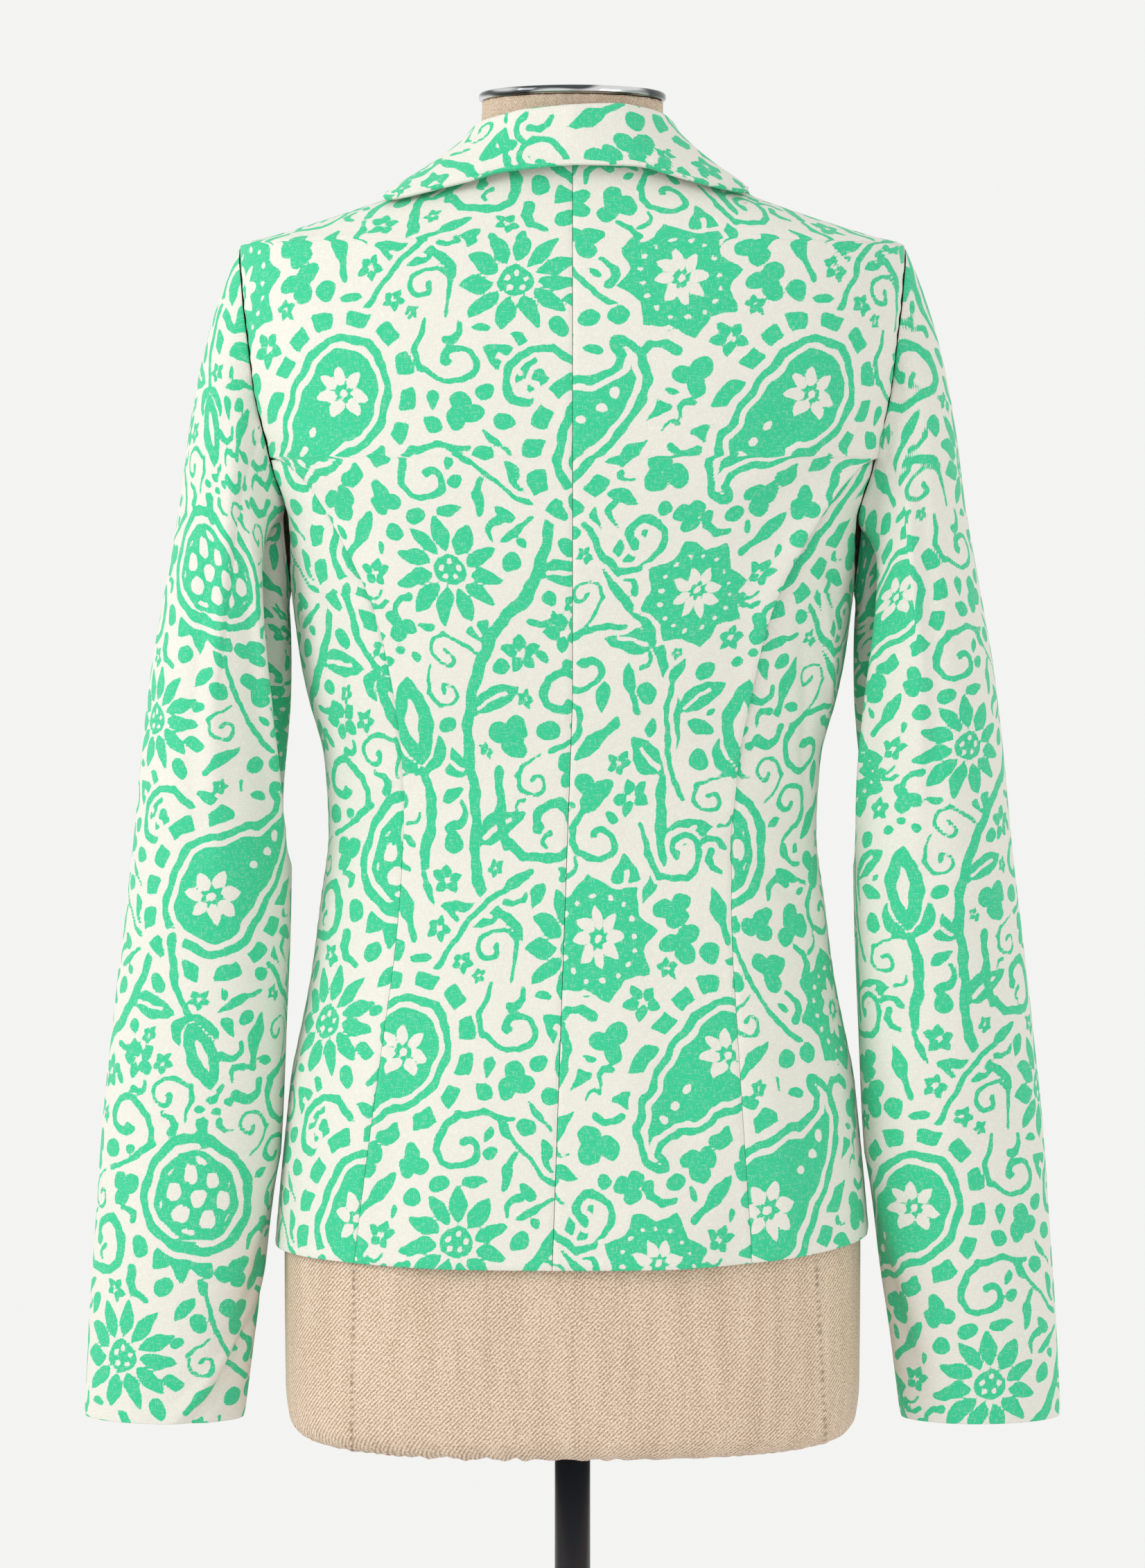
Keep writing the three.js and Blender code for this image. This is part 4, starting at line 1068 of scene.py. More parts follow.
def sleeve_grid(side):
    """Rows from the cuff up to the armhole, each a whole turn. Beside the armhole the wall's end lies in
    the armhole's own plane."""
    rings = np.linspace(0, 15, LENGTH_SAMPLES)[:, None]
    path = run_lengths(sleeve_point(side, rings, np.full_like(rings, math.pi)), 0)[:, 0]
    rows = np.interp(graded(path[-1]) * path[-1], path, rings[:, 0])[::-1, None]
    count = int(math.ceil(SLEEVE_ROUND / CLOTH_STEP / INNER_STRIDE)) * INNER_STRIDE
    turns = np.linspace(0, TURN, count + 1)[None, :-1]
    grid = sleeve_point(side, rows + 0 * turns, turns + 0 * rows)
    normals = grid_normals(grid, True)
    away = grid - np.array([SLEEVE_AXIS_X, 0, 0])
    normals *= np.sign((normals[..., :2] * away[..., :2]).sum())
    end = stacked(0 * turns, np.sin(turns), -np.cos(turns))
    left = (1 - smooth_step(rows, 0, ARMHOLE_END_RINGS))[..., None]
    normals = unit(normals * (1 - left) + end * left)
    mirror = np.array([side, 1, 1])
    return grid * mirror, normals * mirror, rows, turns


def edge_distance(grid, closed):
    """Distance of each point to the nearest edge of the piece, found for those close to one."""
    rows, columns = grid.shape[:2]
    i, j = np.meshgrid(np.arange(rows), np.arange(columns), indexing="ij")
    ends = np.minimum(i, rows - 1 - i)
    sides = np.full_like(ends, rows) if closed else np.minimum(j, columns - 1 - j)
    inwards = np.minimum(ends, sides)
    edge = grid[inwards == 0]
    near = np.argwhere(inwards < EDGE_REACH)
    found = np.full((rows, columns), FAR_FROM_EDGE)
    for start in range(0, len(near), EDGE_CHUNK):
        a, b = near[start : start + EDGE_CHUNK].T
        apart = grid[a, b][:, None] - edge[None]
        found[a, b] = np.sqrt((apart**2).sum(axis=-1).min(axis=1))
    return found


def stroke(x, y, points):
    """A brush line through points, each with its place and half width."""
    found = np.full(x.shape, -1e3)
    for (ax, ay, aw), (bx, by, bw) in zip(points[:-1], points[1:]):
        dx, dy = bx - ax, by - ay
        t = np.clip(((x - ax) * dx + (y - ay) * dy) / (dx * dx + dy * dy), 0, 1)
        found = np.maximum(found, aw + (bw - aw) * t - np.hypot(x - ax - t * dx, y - ay - t * dy))
    return found


def turned_to(x, y, degrees):
    c, s = math.cos(math.radians(degrees)), math.sin(math.radians(degrees))
    return x * c + y * s, y * c - x * s


def leaf(x, y, length, width, bend=0.0, vein=0.0):
    """A pointed leaf from the origin up the y axis, bent sideways, its vein left open."""
    t = np.clip(y / length, 0, 1)
    aside = x - bend * t * t
    body = width * np.sin(math.pi * t**0.85) ** 0.8 - np.abs(aside)
    body = np.minimum(body, np.minimum(y + 0.4, length + 0.4 - y))
    if vein:
        line = np.maximum(np.abs(aside) - vein, np.maximum(y - 0.72 * length, 0.1 * length - y))
        body = np.minimum(body, line)
    return body


def folded_round(x, y, count):
    """Places in one of a count of equal sectors about the origin, and their distance from it."""
    step = TURN / count
    local = (np.arctan2(x, y) + step / 2) % step - step / 2
    r = np.hypot(x, y)
    return r * np.sin(local), r * np.cos(local)


def petals(x, y, count, inner, outer, width):
    u, v = folded_round(x, y, count)
    return leaf(u, v - inner, outer - inner, width)


def dots(x, y, count, radius, size):
    u, v = folded_round(x, y, count)
    return size - np.hypot(u, v - radius)


def cut(shape, *holes):
    return np.minimum.reduce([shape, *(-hole for hole in holes)])


def joined(*shapes):
    return np.maximum.reduce(shapes)


def outlined(draw):
    """A motif whose outline is that of its ink."""

    def motif(x, y):
        body = draw(x, y)
        return body, body

    return motif


# Each motif takes places in millimetres about its middle and returns two signed distances: how far
# inside its ink a place is, and how far inside its outline. The numbers in it are its own drawing.


def paisley(x, y):
    belly = [(-4, -16, 20), (-3, -4, 20.5), (2, 8, 17), (9, 20, 11)]
    hook = [(12, 30, 7), (9, 38, 4.6), (2, 41, 3.4)]
    body = stroke(x, y, belly + hook)
    u, v = x + 4, y + 12
    teeth = 2.6 * np.sin(13 * np.arctan2(u, v)) + 0.9
    fringe = np.minimum.reduce([3.2 - np.abs(body + 6.6), teeth, 26 - y])
    heart = joined(petals(u, v, 7, 3.4, 11.5, 2.7), 1.9 - np.hypot(u, v))
    tip = joined(*(1.9 - np.hypot(x - a, y - b) for a, b in ((3, 7.5), (6.5, 15), (9, 22))))
    return joined(cut(body, 1.2 - np.abs(body - 4.4), heart, tip), fringe), body + 10


def tulip(x, y):
    mirrored = np.abs(x)
    side = leaf(*turned_to(mirrored - 2, y + 4, 24), 40, 9.5, 6)
    middle = leaf(x, y + 2, 34, 8)
    cup = stroke(x, y, [(-3, 3, 9), (3, 3, 9)])
    outer = cut(joined(side, cup), middle + 1.7, leaf(*turned_to(mirrored - 4.5, y - 3, 24), 22, 2.2, 3))
    stem = stroke(x, y, [(0, -5, 2.0), (1.5, -22, 1.9), (-1, -44, 2.1)])
    low = np.minimum(leaf(*turned_to(mirrored - 1, y + 40, 30), 38, 6.5, -8, 1.2), mirrored - 2.8)
    stamens = joined(*(2.0 - np.hypot(x - a, y - 40 - b) for a, b in ((-6, 0), (0, 3), (6, 0))))
    ink = joined(outer, cut(middle, leaf(x, y - 6, 18, 2.4)), stem, low, stamens)
    return ink, joined(side, middle, cup, stem, low, stamens)


def pomegranate(x, y):
    r = np.hypot(x, y * 0.94)
    body = 23 - r
    row = np.round(y / 8.2)
    u = (x + 4.9 * (row % 2) + 4.9) % 9.8 - 4.9
    seeds = np.minimum(2.9 - np.hypot(u, (y - row * 8.2) * 0.7), 14.5 - r)
    crown = joined(*(leaf(*turned_to(x, y - 19, a), 19, 4.6) for a in (-42, 0, 42)))
    stem = stroke(x, y, [(0, -21, 2.4), (3, -32, 2.2), (0, -44, 1.8)])
    low = leaf(*turned_to(np.abs(x) - 1, y + 38, 48), 27, 6, 5, 1.1)
    ink = joined(cut(body, seeds, 1.3 - np.abs(r - 18)), cut(crown, 1.3 - np.abs(r - 24.5)), stem, low)
    return ink, joined(body, crown, stem, low)


def daisy(x, y):
    r = np.hypot(x, y)
    eye = cut(8.2 - r, dots(x, y, 5, 4.4, 1.6))
    return joined(petals(x, y, 11, 9.8, 28, 4.2), eye), 27 - r


def star(x, y):
    u, v = turned_to(x, y, 45)
    body = joined(19 - np.maximum(np.abs(x), np.abs(y)), 19 - np.maximum(np.abs(u), np.abs(v)))
    heart = joined(petals(x, y, 8, 3.2, 12.5, 2.5), 1.6 - np.hypot(x, y))
    return cut(body, heart, dots(x, y, 16, 17, 1.25)), body


@outlined
def spray(x, y):
    curve = x - 0.006 * y * y
    body = np.minimum(1.6 - np.abs(curve), 38 - np.abs(y))
    for k in range(5):
        side = leaf(*turned_to(np.abs(curve), y + 30 - 13 * k, 48), 17 - 1.6 * k, 3.9, -2.5)
        body = joined(body, side)
    return joined(body, leaf(curve, y - 34, 15, 3.8))


@outlined
def curl(x, y):
    points = [(14, -20, 1.2), (17, -4, 1.6), (15, 8, 1.7)]
    for k in range(15):
        radius = 15.5 * (1 - k / 17) ** 1.1
        angle = 0.5 + k * 0.44
        points.append((radius * math.cos(angle), radius * math.sin(angle), 1.7))
    points.append((points[-1][0] + 0.1, points[-1][1], 3.2))
    return stroke(x, y, points)


@outlined
def drop(x, y):
    return leaf(x, y + 5, 10, 2.6, 1.2)


@outlined
def dot(x, y):
    return 3.2 - np.hypot(x, y)


@outlined
def comma(x, y):
    return stroke(x, y, [(-4, -3, 2.1), (0, -3.5, 1.6), (3.5, -0.5, 1.3), (4, 4, 1.1)])


@outlined
def sprig(x, y):
    side = leaf(*turned_to(np.abs(x), y + 6, 40), 10, 2.2)
    return joined(leaf(x, y + 6, 14, 2.4), side, stroke(x, y, [(0, -5, 1.2), (0, -10, 1.2)]))


@outlined
def floret(x, y):
    return petals(x, y, 5, 1.4, 7.5, 2.3)


@outlined
def trefoil(x, y):
    return dots(x, y, 3, 3.6, 3.4)


@outlined
def vine_leaf(x, y):
    return leaf(x, y - 2, 31, 7.5, 5, 1.3)


# The larger motifs: what, where on the repeat, turn and size
MOTIFS = (
    (curl, 104, 128, 40, 1.3),
    (curl, 200, 42, 230, 1.25),
    (curl, 188, 338, 110, 1.2),
    (curl, 88, 322, -60, 1.25),
    (curl, 252, 240, 200, 1.05),
    (spray, 156, 190, 34, 1.05),
    (spray, 26, 192, -34, 1.1),
    (spray, 238, 300, 12, 0.95),
    (spray, 92, 60, 60, 0.9),
    (paisley, 150, 98, -24, 1.45),
    (tulip, 6, 292, 4, 1.4),
    (pomegranate, 134, 284, 172, 1.4),
    (paisley, 266, 116, 156, 1.35),
    (daisy, 96, 190, 0, 1.15),
    (star, 208, 190, 10, 1.3),
    (tulip, 128, 8, 196, 1.2),
    (daisy, 40, 24, 0, 1.1),
    (star, 238, 12, 20, 1.15),
)

# Fillers with their radius
MEDIUM_FILLERS = ((floret, 7.5), (sprig, 10), (trefoil, 7), (curl, 17))
SMALL_FILLERS = ((drop, 5), (comma, 5), (dot, 3.4), (floret, 7.5), (comma, 5), (drop, 5))


class Print:
    """One repeat of the print as a grid of signed distances, positive in the ink. Places are wobbled
    before a motif is drawn, so that no line is quite even."""

    def __init__(self):
        self.columns, self.rows = (int(round(size / TILE_STEP)) for size in TILE)
        self.y, self.x = np.mgrid[0 : self.rows, 0 : self.columns] * TILE_STEP
        a, b = self.x / TILE[0] * TURN, self.y / TILE[1] * TURN
        self.aside = 1.5 * np.sin(5 * b + 2 * np.sin(2 * a))
        self.aside += 0.6 * np.sin(17 * b + 9 * a) + 0.25 * np.sin(37 * b - 23 * a)
        self.above = 1.5 * np.sin(4 * a + 2 * np.sin(3 * b))
        self.above += 0.6 * np.sin(15 * a - 8 * b) + 0.25 * np.sin(33 * a + 29 * b)
        self.ink = np.full((self.rows, self.columns), EMPTY)

    def window(self, x, y, reach):
        """The part of the grid round a place, over the repeat's edges, and its offsets from there."""
        steps = np.arange(-int(reach / TILE_STEP), int(reach / TILE_STEP) + 1)
        rows = (int(round(y / TILE_STEP)) + steps) % self.rows
        columns = (int(round(x / TILE_STEP)) + steps) % self.columns
        return np.ix_(rows, columns), steps * TILE_STEP

    def stamp(self, motif, x, y, turn, size, reach=MOTIF_REACH, halo=HALO):
        """Draw a motif over what is there, with cream round it."""
        part, steps = self.window(x, y, reach * size)
        u = (steps[None, :] + self.aside[part]) / size
        v = (steps[:, None] + self.above[part]) / size
        shape, outline = motif(*turned_to(u, v, turn))
        clear = np.minimum(self.ink[part], -(outline * size + halo))
        self.ink[part] = np.maximum(clear, shape * size)

    def vine(self, middle, sign):
        """A wavy vine up the whole repeat, with leaves to either side in turn."""

        def path(level):
            b = level / TILE[1] * TURN
            place = middle + sign * (VINE_SWING * np.sin(b) + VINE_RIPPLE * np.sin(3 * b))
            slope = sign * (VINE_SWING * np.cos(b) + 3 * VINE_RIPPLE * np.cos(3 * b)) * TURN / TILE[1]
            return place, slope

        place, slope = path(self.y + self.above)
        away = (self.x + self.aside - place + TILE[0] / 2) % TILE[0] - TILE[0] / 2
        self.ink = np.maximum(self.ink, VINE_HALF - np.abs(away) / np.hypot(1, slope))
        for k in range(VINE_LEAVES):
            level = (k + 0.5) * TILE[1] / VINE_LEAVES
            place, slope = path(level)
            side = 1 if k % 2 else -1
            turn = side * LEAF_TURN - math.degrees(math.atan(slope))
            self.stamp(vine_leaf, place, level, turn, 1, LEAF_REACH, 0.0)

    def fill(self):
        """Small motifs in the emptiest places until none is left with room enough."""
        random = np.random.default_rng(FILL_SEED)
        room = FILL_ROOM
        while room >= FILL_ROOM:
            i, j = divmod(int(np.argmin(self.ink)), self.columns)
            room = -self.ink[i, j]
            fillers = MEDIUM_FILLERS if room > FILL_MEDIUM_ROOM else SMALL_FILLERS
            motif, radius = fillers[random.integers(len(fillers))]
            size = min((room - FILL_CREAM) / radius, FILL_LARGEST)
            x, y = j * TILE_STEP, i * TILE_STEP
            self.stamp(motif, x, y, random.uniform(0, 360), size, radius * FILL_SPREAD, 0.0)
            middle = self.window(x, y, FILL_GUARD)[0]
            self.ink[middle] = np.maximum(self.ink[middle], FILL_MARK)

    def at(self, places):
        """The distance at places in millimetres on the flat cloth, between the grid's points."""
        x, y = places[..., 0] / TILE_STEP, places[..., 1] / TILE_STEP
        j, i = np.floor(x).astype(int), np.floor(y).astype(int)
        u, v = x - j, y - i
        left, right = j % self.columns, (j + 1) % self.columns
        low, high = i % self.rows, (i + 1) % self.rows
        below = self.ink[low, left] * (1 - u) + self.ink[low, right] * u
        above = self.ink[high, left] * (1 - u) + self.ink[high, right] * u
        return np.clip(below * (1 - v) + above * v, -INK_REACH, INK_REACH)


def drawn_print():
    made = Print()
    for middle, sign in VINES:
        made.vine(middle, sign)
    for motif in MOTIFS:
        made.stamp(*motif)
    made.fill()
    return made


PRINT = drawn_print()


def cloth_piece(name, grid, normals, shift, closed=False, relief=0, jump=0):
    """One piece of the blazer from its visible face: rounded at its edges, puckered a little beside
    them, laid flat for the print, then made into a wall."""
    up = grid[1:, :-1] - grid[:-1, :-1]
    across = grid[:-1, 1:] - grid[:-1, :-1]
    facing = (np.cross(across, up) * normals[:-1, :-1]).sum()
    distance = edge_distance(grid, closed)
    ripple = np.sin(grid[..., 2] * TURN / PUCKER_PITCH + 3 * np.sin(grid[..., 2] / PUCKER_DRIFT))
    dip = -EDGE_DIP * bell(distance / EDGE_DIP_WIDTH)
    dip = dip + PUCKER_DEPTH * ripple * bell(distance / PUCKER_WIDTH)
    shaped = grid + normals * (dip + relief)[..., None]
    laid = np.concatenate([grid, grid[:, :1]], axis=1) if closed else grid
    flat = flat_pattern(laid) * np.array([math.copysign(1, facing), 1])
    places = flat[:, : grid.shape[1]] + np.array(shift)
    places[..., 0] += jump
    ink = PRINT.at(places)
    uv = flat * MM
    if facing < 0:
        shaped, normals, ink, uv = (values[:, ::-1] for values in (shaped, normals, ink, uv))
    mesh = shell_mesh(name, shaped, normals, closed, ink, uv)
    piece = add_piece(name + "_cloth", mesh, CLOTH_FINISH, "print", name)
    return piece


def noise_of(nodes, links, vector, scale, detail=2.0):
    """Fine noise of a coordinate, its scale a number, or three for a grain longer one way."""
    noise = nodes.new("ShaderNodeTexNoise")
    noise.inputs["Detail"].default_value = detail
    if isinstance(scale, tuple):
        stretch = nodes.new("ShaderNodeMapping")
        stretch.inputs["Scale"].default_value = scale
        links.new(vector, stretch.inputs["Vector"])
        vector = stretch.outputs["Vector"]
        noise.inputs["Scale"].default_value = 1.0
    else:
        noise.inputs["Scale"].default_value = scale
    links.new(vector, noise.inputs["Vector"])
    return noise.outputs["Fac"]


def arithmetic(nodes, links, operation, *values):
    """A sum, product or the like of values, each a number or another node's output."""
    made = nodes.new("ShaderNodeMath")
    made.operation = operation
    for socket, value in zip(made.inputs, values):
        if isinstance(value, (int, float)):
            socket.default_value = value
        else:
            links.new(value, socket)
    return made.outputs[0]


def stepped(nodes, links, value, start, end, low=0.0, high=1.0):
    """A soft step of a value from low to high."""
    made = nodes.new("ShaderNodeMapRange")
    made.interpolation_type = "SMOOTHSTEP"
    for name, number in (("From Min", start), ("From Max", end), ("To Min", low), ("To Max", high)):
        made.inputs[name].default_value = number
    links.new(value, made.inputs["Value"])
    return made.outputs["Result"]


def mixed(nodes, links, share, first, second):
    """A colour between two, each a colour or another node's output."""
    made = nodes.new("ShaderNodeMix")
    made.data_type = "RGBA"
    links.new(share, made.inputs["Factor"])
    for name, colour in (("A", first), ("B", second)):
        if isinstance(colour, tuple):
            made.inputs[name].default_value = (*colour, 1)
        else:
            links.new(colour, made.inputs[name])
    return made.outputs["Result"]


def bumped(nodes, links, shader, *layers):
    """Fine relief from pairs of a height and its size in metres."""
    normal = None
    for height, distance in layers:
        bump = nodes.new("ShaderNodeBump")
        bump.inputs["Distance"].default_value = distance
        links.new(height, bump.inputs["Height"])
        if normal:
            links.new(normal, bump.inputs["Normal"])
        normal = bump.outputs["Normal"]
    links.new(normal, shader.inputs["Normal"])


def laid_place(nodes):
    """A place on the piece laid flat, from its own coordinates."""
    laid = nodes.new("ShaderNodeUVMap")
    laid.uv_map = "cloth"
    return laid.outputs["UV"]


def attribute_of(nodes, name):
    found = nodes.new("ShaderNodeAttribute")
    found.attribute_name = name
    return found.outputs["Fac"]


def cloth_finish():
    """The printed cloth: ink where the attribute is above nothing, its outline a little rough, and
    thicker threads of warp and weft that took less of it."""
    finish, nodes, links, shader = material("printed_cloth")
    ink = attribute_of(nodes, "ink")
    place = laid_place(nodes)
    rough = arithmetic(nodes, links, "SUBTRACT", noise_of(nodes, links, place, OUTLINE_NOISE), 0.5)
    rough = arithmetic(nodes, links, "MULTIPLY", rough, OUTLINE_ROUGHNESS)
    inked = arithmetic(nodes, links, "ADD", ink, rough)
    inked = stepped(nodes, links, inked, -INK_SOFTNESS, INK_SOFTNESS)
    warp = noise_of(nodes, links, place, (WARP_FINE, WARP_LONG, 1))
    weft = noise_of(nodes, links, place, (WARP_LONG, WARP_FINE, 1))
    threads = arithmetic(nodes, links, "MAXIMUM", warp, weft)
    bare = stepped(nodes, links, threads, *BARE_THREADS, 0.0, SPECK_SHARE)
    covered = arithmetic(nodes, links, "SUBTRACT", 1.0, bare)
    inked = arithmetic(nodes, links, "MULTIPLY", inked, covered)
    cream = mixed(nodes, links, stepped(nodes, links, threads, *DARK_THREADS), CREAM_DARK, CREAM)
    links.new(mixed(nodes, links, inked, cream, GREEN), shader.inputs["Base Color"])
    shader.inputs["Roughness"].default_value = CLOTH_ROUGHNESS
    shader.inputs["Sheen Weight"].default_value = CLOTH_SHEEN
    shader.inputs["Sheen Roughness"].default_value = SHEEN_ROUGHNESS
    uneven = noise_of(nodes, links, place, SOFT_NOISE, 3.0)
    bumped(nodes, links, shader, (uneven, SOFT_RELIEF), (threads, THREAD_RELIEF))
    return finish


CLOTH_FINISH = cloth_finish()


def plain_finish(name, colour, roughness):
    finish, _, _, shader = material(name)
    shader.inputs["Base Color"].default_value = (*colour, 1)
    shader.inputs["Roughness"].default_value = roughness
    return finish


def linen_finish():
    """A coarse twill of pale, tan and brown threads, with darker holes where the seams are stitched."""
    finish, nodes, links, shader = material("linen")
    place = laid_place(nodes)
    twill = nodes.new("ShaderNodeTexWave")
    twill.bands_direction = "DIAGONAL"
    twill.inputs["Scale"].default_value = TWILL_SCALE
    twill.inputs["Distortion"].default_value = TWILL_DISTORTION
    twill.inputs["Detail"].default_value = TWILL_DETAIL
    twill.inputs["Detail Scale"].default_value = TWILL_DETAIL_SCALE
    links.new(place, twill.inputs["Vector"])
    grain = noise_of(nodes, links, place, LINEN_GRAIN, 3.0)
    streaks = noise_of(nodes, links, place, LINEN_STREAKS)
    streaks = arithmetic(nodes, links, "MULTIPLY", streaks, LINEN_STREAK_SHARE)
    thread = arithmetic(nodes, links, "MULTIPLY_ADD", twill.outputs["Fac"], TWILL_SHARE, grain)
    thread = arithmetic(nodes, links, "ADD", thread, streaks)
    woven = mixed(nodes, links, stepped(nodes, links, thread, *LINEN_THREADS), LINEN_DARK, LINEN_LIGHT)
    colour = mixed(nodes, links, attribute_of(nodes, "stitch"), woven, LINEN_HOLE)
    links.new(colour, shader.inputs["Base Color"])
    shader.inputs["Roughness"].default_value = LINEN_ROUGHNESS
    shader.inputs["Sheen Weight"].default_value = LINEN_SHEEN
    bumped(nodes, links, shader, (thread, LINEN_RELIEF))
    return finish


def chrome_finish():
    """Polished metal with painted reflections: a stretched noise mixes its colour between dark and light,
    standing in for the room's darker shapes mirrored in it.
    """
    finish, nodes, links, shader = material("chrome")
    place = nodes.new("ShaderNodeTexCoord").outputs["Object"]
    # Painted reflection: the base colour is darkened in stretched patches as if the room were mirrored in
    # it
    painted_reflection = noise_of(nodes, links, place, CHROME_REFLECTION_STRETCH, 1.0)
    share = stepped(nodes, links, painted_reflection, *CHROME_REFLECTION_EDGES)
    links.new(mixed(nodes, links, share, CHROME_REFLECTED_DARK, CHROME_REFLECTED_LIGHT), shader.inputs["Base Color"])
    shader.inputs["Metallic"].default_value = 1.0
    shader.inputs["Roughness"].default_value = CHROME_ROUGHNESS
    return finish


# Rolls of cloth along a panel's seam: the middle's height, half its length, width and depth
BACK_SEAM_ROLLS = {
    -1: ((1202, 50, 11, 4.6), (1110, 50, 7, 1.2)),
    1: ((1190, 40, 9, 1.6), (1085, 50, 7, 0.9)),
}
SIDE_SEAM_ROLLS = {
    -1: ((1198, 48, 9, -3.6), (1105, 50, 8, -1.2)),
    1: ((1184, 40, 8, -1.8), (1085, 50, 8, -0.8)),
}


def seam_rolls(grid, rolls, last):
    """Relief beside a panel's first or last column."""
    along = run_lengths(grid, 1)
    away = along[:, -1:] - along if last else along
    total = np.zeros(away.shape)
    for level, half, width, depth in rolls:
        total += depth * bell((grid[..., 2] - level) / half) * bell(away / width)
    return total


def sleeve_seams(side, rows, turns):
    """Grooves of the underarm seam and the long dart, and the print's jump across the dart."""
    dart = SLEEVE_DART_TURN[side]
    first, last = SLEEVE_DART_RINGS
    rise, fade = SLEEVE_DART_FADE
    along = smooth_step(rows, first - rise, first) * (1 - smooth_step(rows, last - fade, last))
    groove = bell((turns - dart) * SLEEVE_RADIUS / GROOVE_WIDTH) * along
    from_seam = np.minimum(turns, TURN - turns)
    groove = groove + bell(from_seam * SLEEVE_RADIUS / GROOVE_WIDTH)
    above = (turns > dart) * (turns < math.pi)
    jump = SLEEVE_DART_JUMP * (1 - smooth_step(rows, first, last)) * above
    return -GROOVE_DEPTH * groove, jump


def front_seams(grid):
    """The groove of a front's waist dart, and the print's jump across it."""
    low, high = FRONT_DART_Z
    inside = (grid[..., 2] - low) / (high - low)
    strength = np.sin(math.pi * np.clip(inside, 0, 1))
    away = np.abs(grid[..., 0]) - FRONT_DART_X
    groove = -GROOVE_DEPTH * bell(away / GROOVE_WIDTH) * smooth_step(strength, 0, 0.2)
    return groove, FRONT_DART_JUMP * strength * (away > 0)


def collar_seams(grid):
    """The stitched line beside the collar's outer edge, with other print below it."""
    along = run_lengths(grid, 1)
    away = along[:, -1:] - along
    groove = -GROOVE_DEPTH * bell((away - COLLAR_STITCH) / COLLAR_STITCH_WIDTH)
    return groove, COLLAR_JUMP * (away < COLLAR_STITCH)


def print_shift(part, side):
    x, y = PRINT_SHIFTS[part]
    return x * side, y


def back(side, word):
    grid, normals = back_panel(side)
    relief = seam_rolls(grid, BACK_SEAM_ROLLS[side], True)
    cloth_piece("back_" + word, grid, normals, print_shift("back", side), relief=relief)


def side_back(side, word):
    grid, normals = side_back_panel(side)
    relief = seam_rolls(grid, SIDE_SEAM_ROLLS[side], False)
    cloth_piece("side_back_" + word, grid, normals, print_shift("side_back", side), relief=relief)


def front(side, word):
    grid, normals = front_panel(side)
    relief, jump = front_seams(grid)
    cloth_piece("front_" + word, grid, normals, print_shift("front", side), relief=relief, jump=jump)


def lapel(side, word):
    grid, normals = lapel_grid(side)
    cloth_piece("lapel_" + word, grid, normals, print_shift("lapel", side))


def sleeve(side, word):
    grid, normals, rows, turns = sleeve_grid(side)
    relief, jump = sleeve_seams(side, rows, turns)
    shift = SLEEVE_PRINT_SHIFT[side]
    cloth_piece("sleeve_" + word, grid, normals, shift, closed=True, relief=relief, jump=jump)


def collar():
    grid, normals = collar_grid()
    relief, jump = collar_seams(grid)
    cloth_piece("collar", grid, normals, (0, 0), relief=relief, jump=jump)


def blazer():
    for side, word in SIDES:
        for piece in (back, side_back, front, lapel, sleeve):
            piece(side, word)
    collar()


def form_ripples(points, turns):
    """Gathers at the form's lower edge, most of them left of the middle, and at the neck's top edge, and
    the shallow grooves of its two stitched seams with their holes. The gathers are uneven waves, so many
    to a turn."""
    x, height = points[..., 0], points[..., 2]
    low = bell((height - FORM_GATHER_Z) / FORM_GATHER_HIGH)
    wave = np.sin(turns * 70 + 4 * np.sin(turns * 9)) + 0.5 * np.sin(turns * 123 + 2)
    share = FORM_GATHER_LEAST + bell((x - FORM_GATHER_X) / FORM_GATHER_WIDE)
    ripple = FORM_GATHER_DEPTH * low * share * wave
    high = bell((height - FORM_NECK_Z) / FORM_NECK_HIGH)
    ripple = ripple + FORM_NECK_DEPTH * high * np.sin(turns * 23 + 2 * np.sin(turns * 5))
    holes = np.zeros(x.shape)
    for at, drift in FORM_SEAMS:
        away = np.where(points[..., 1] > 0, x - at - drift * (FORM_SEAM_TOP - height), 100)
        below = height < FORM_SEAM_TOP
        ripple = ripple - FORM_SEAM_DEPTH * bell(away / FORM_SEAM_WIDTH) * below
        hole = bell(away / FORM_HOLE_WIDTH) * (np.sin(height * TURN / FORM_STITCH) > 0.1)
        holes = np.maximum(holes, hole * below * FORM_HOLE_SHADE)
    return ripple, holes


def form():
    heights = np.concatenate([even(*part) for part in FORM_ROWS])
    turns = np.linspace(0, TURN, FORM_COLUMNS, endpoint=False)[None, :]
    section = form_section(heights[:, None])
    points = oval_point(section, turns, heights[:, None], section["power"])
    ripple, holes = form_ripples(points, turns)
    points = points + grid_normals(points, True) * ripple[..., None]
    ends = [[0, 0, heights[0]], [0, 0, heights[-1]]]
    mesh = closed_stack("form_body", points, ends)
    stitch = mesh.attributes.new("stitch", "FLOAT", "POINT")
    stitch.data.foreach_set("value", np.concatenate([holes.ravel(), [0, 0]]).astype(np.float32))
    girth = run_lengths(np.concatenate([points, points[:, :1]], axis=1), 1)[FORM_GIRTH_ROW] * MM
    round_uv(mesh, girth, heights * MM)
    add_piece("form_fine", mesh, linen_finish(), "linen", "form_body")


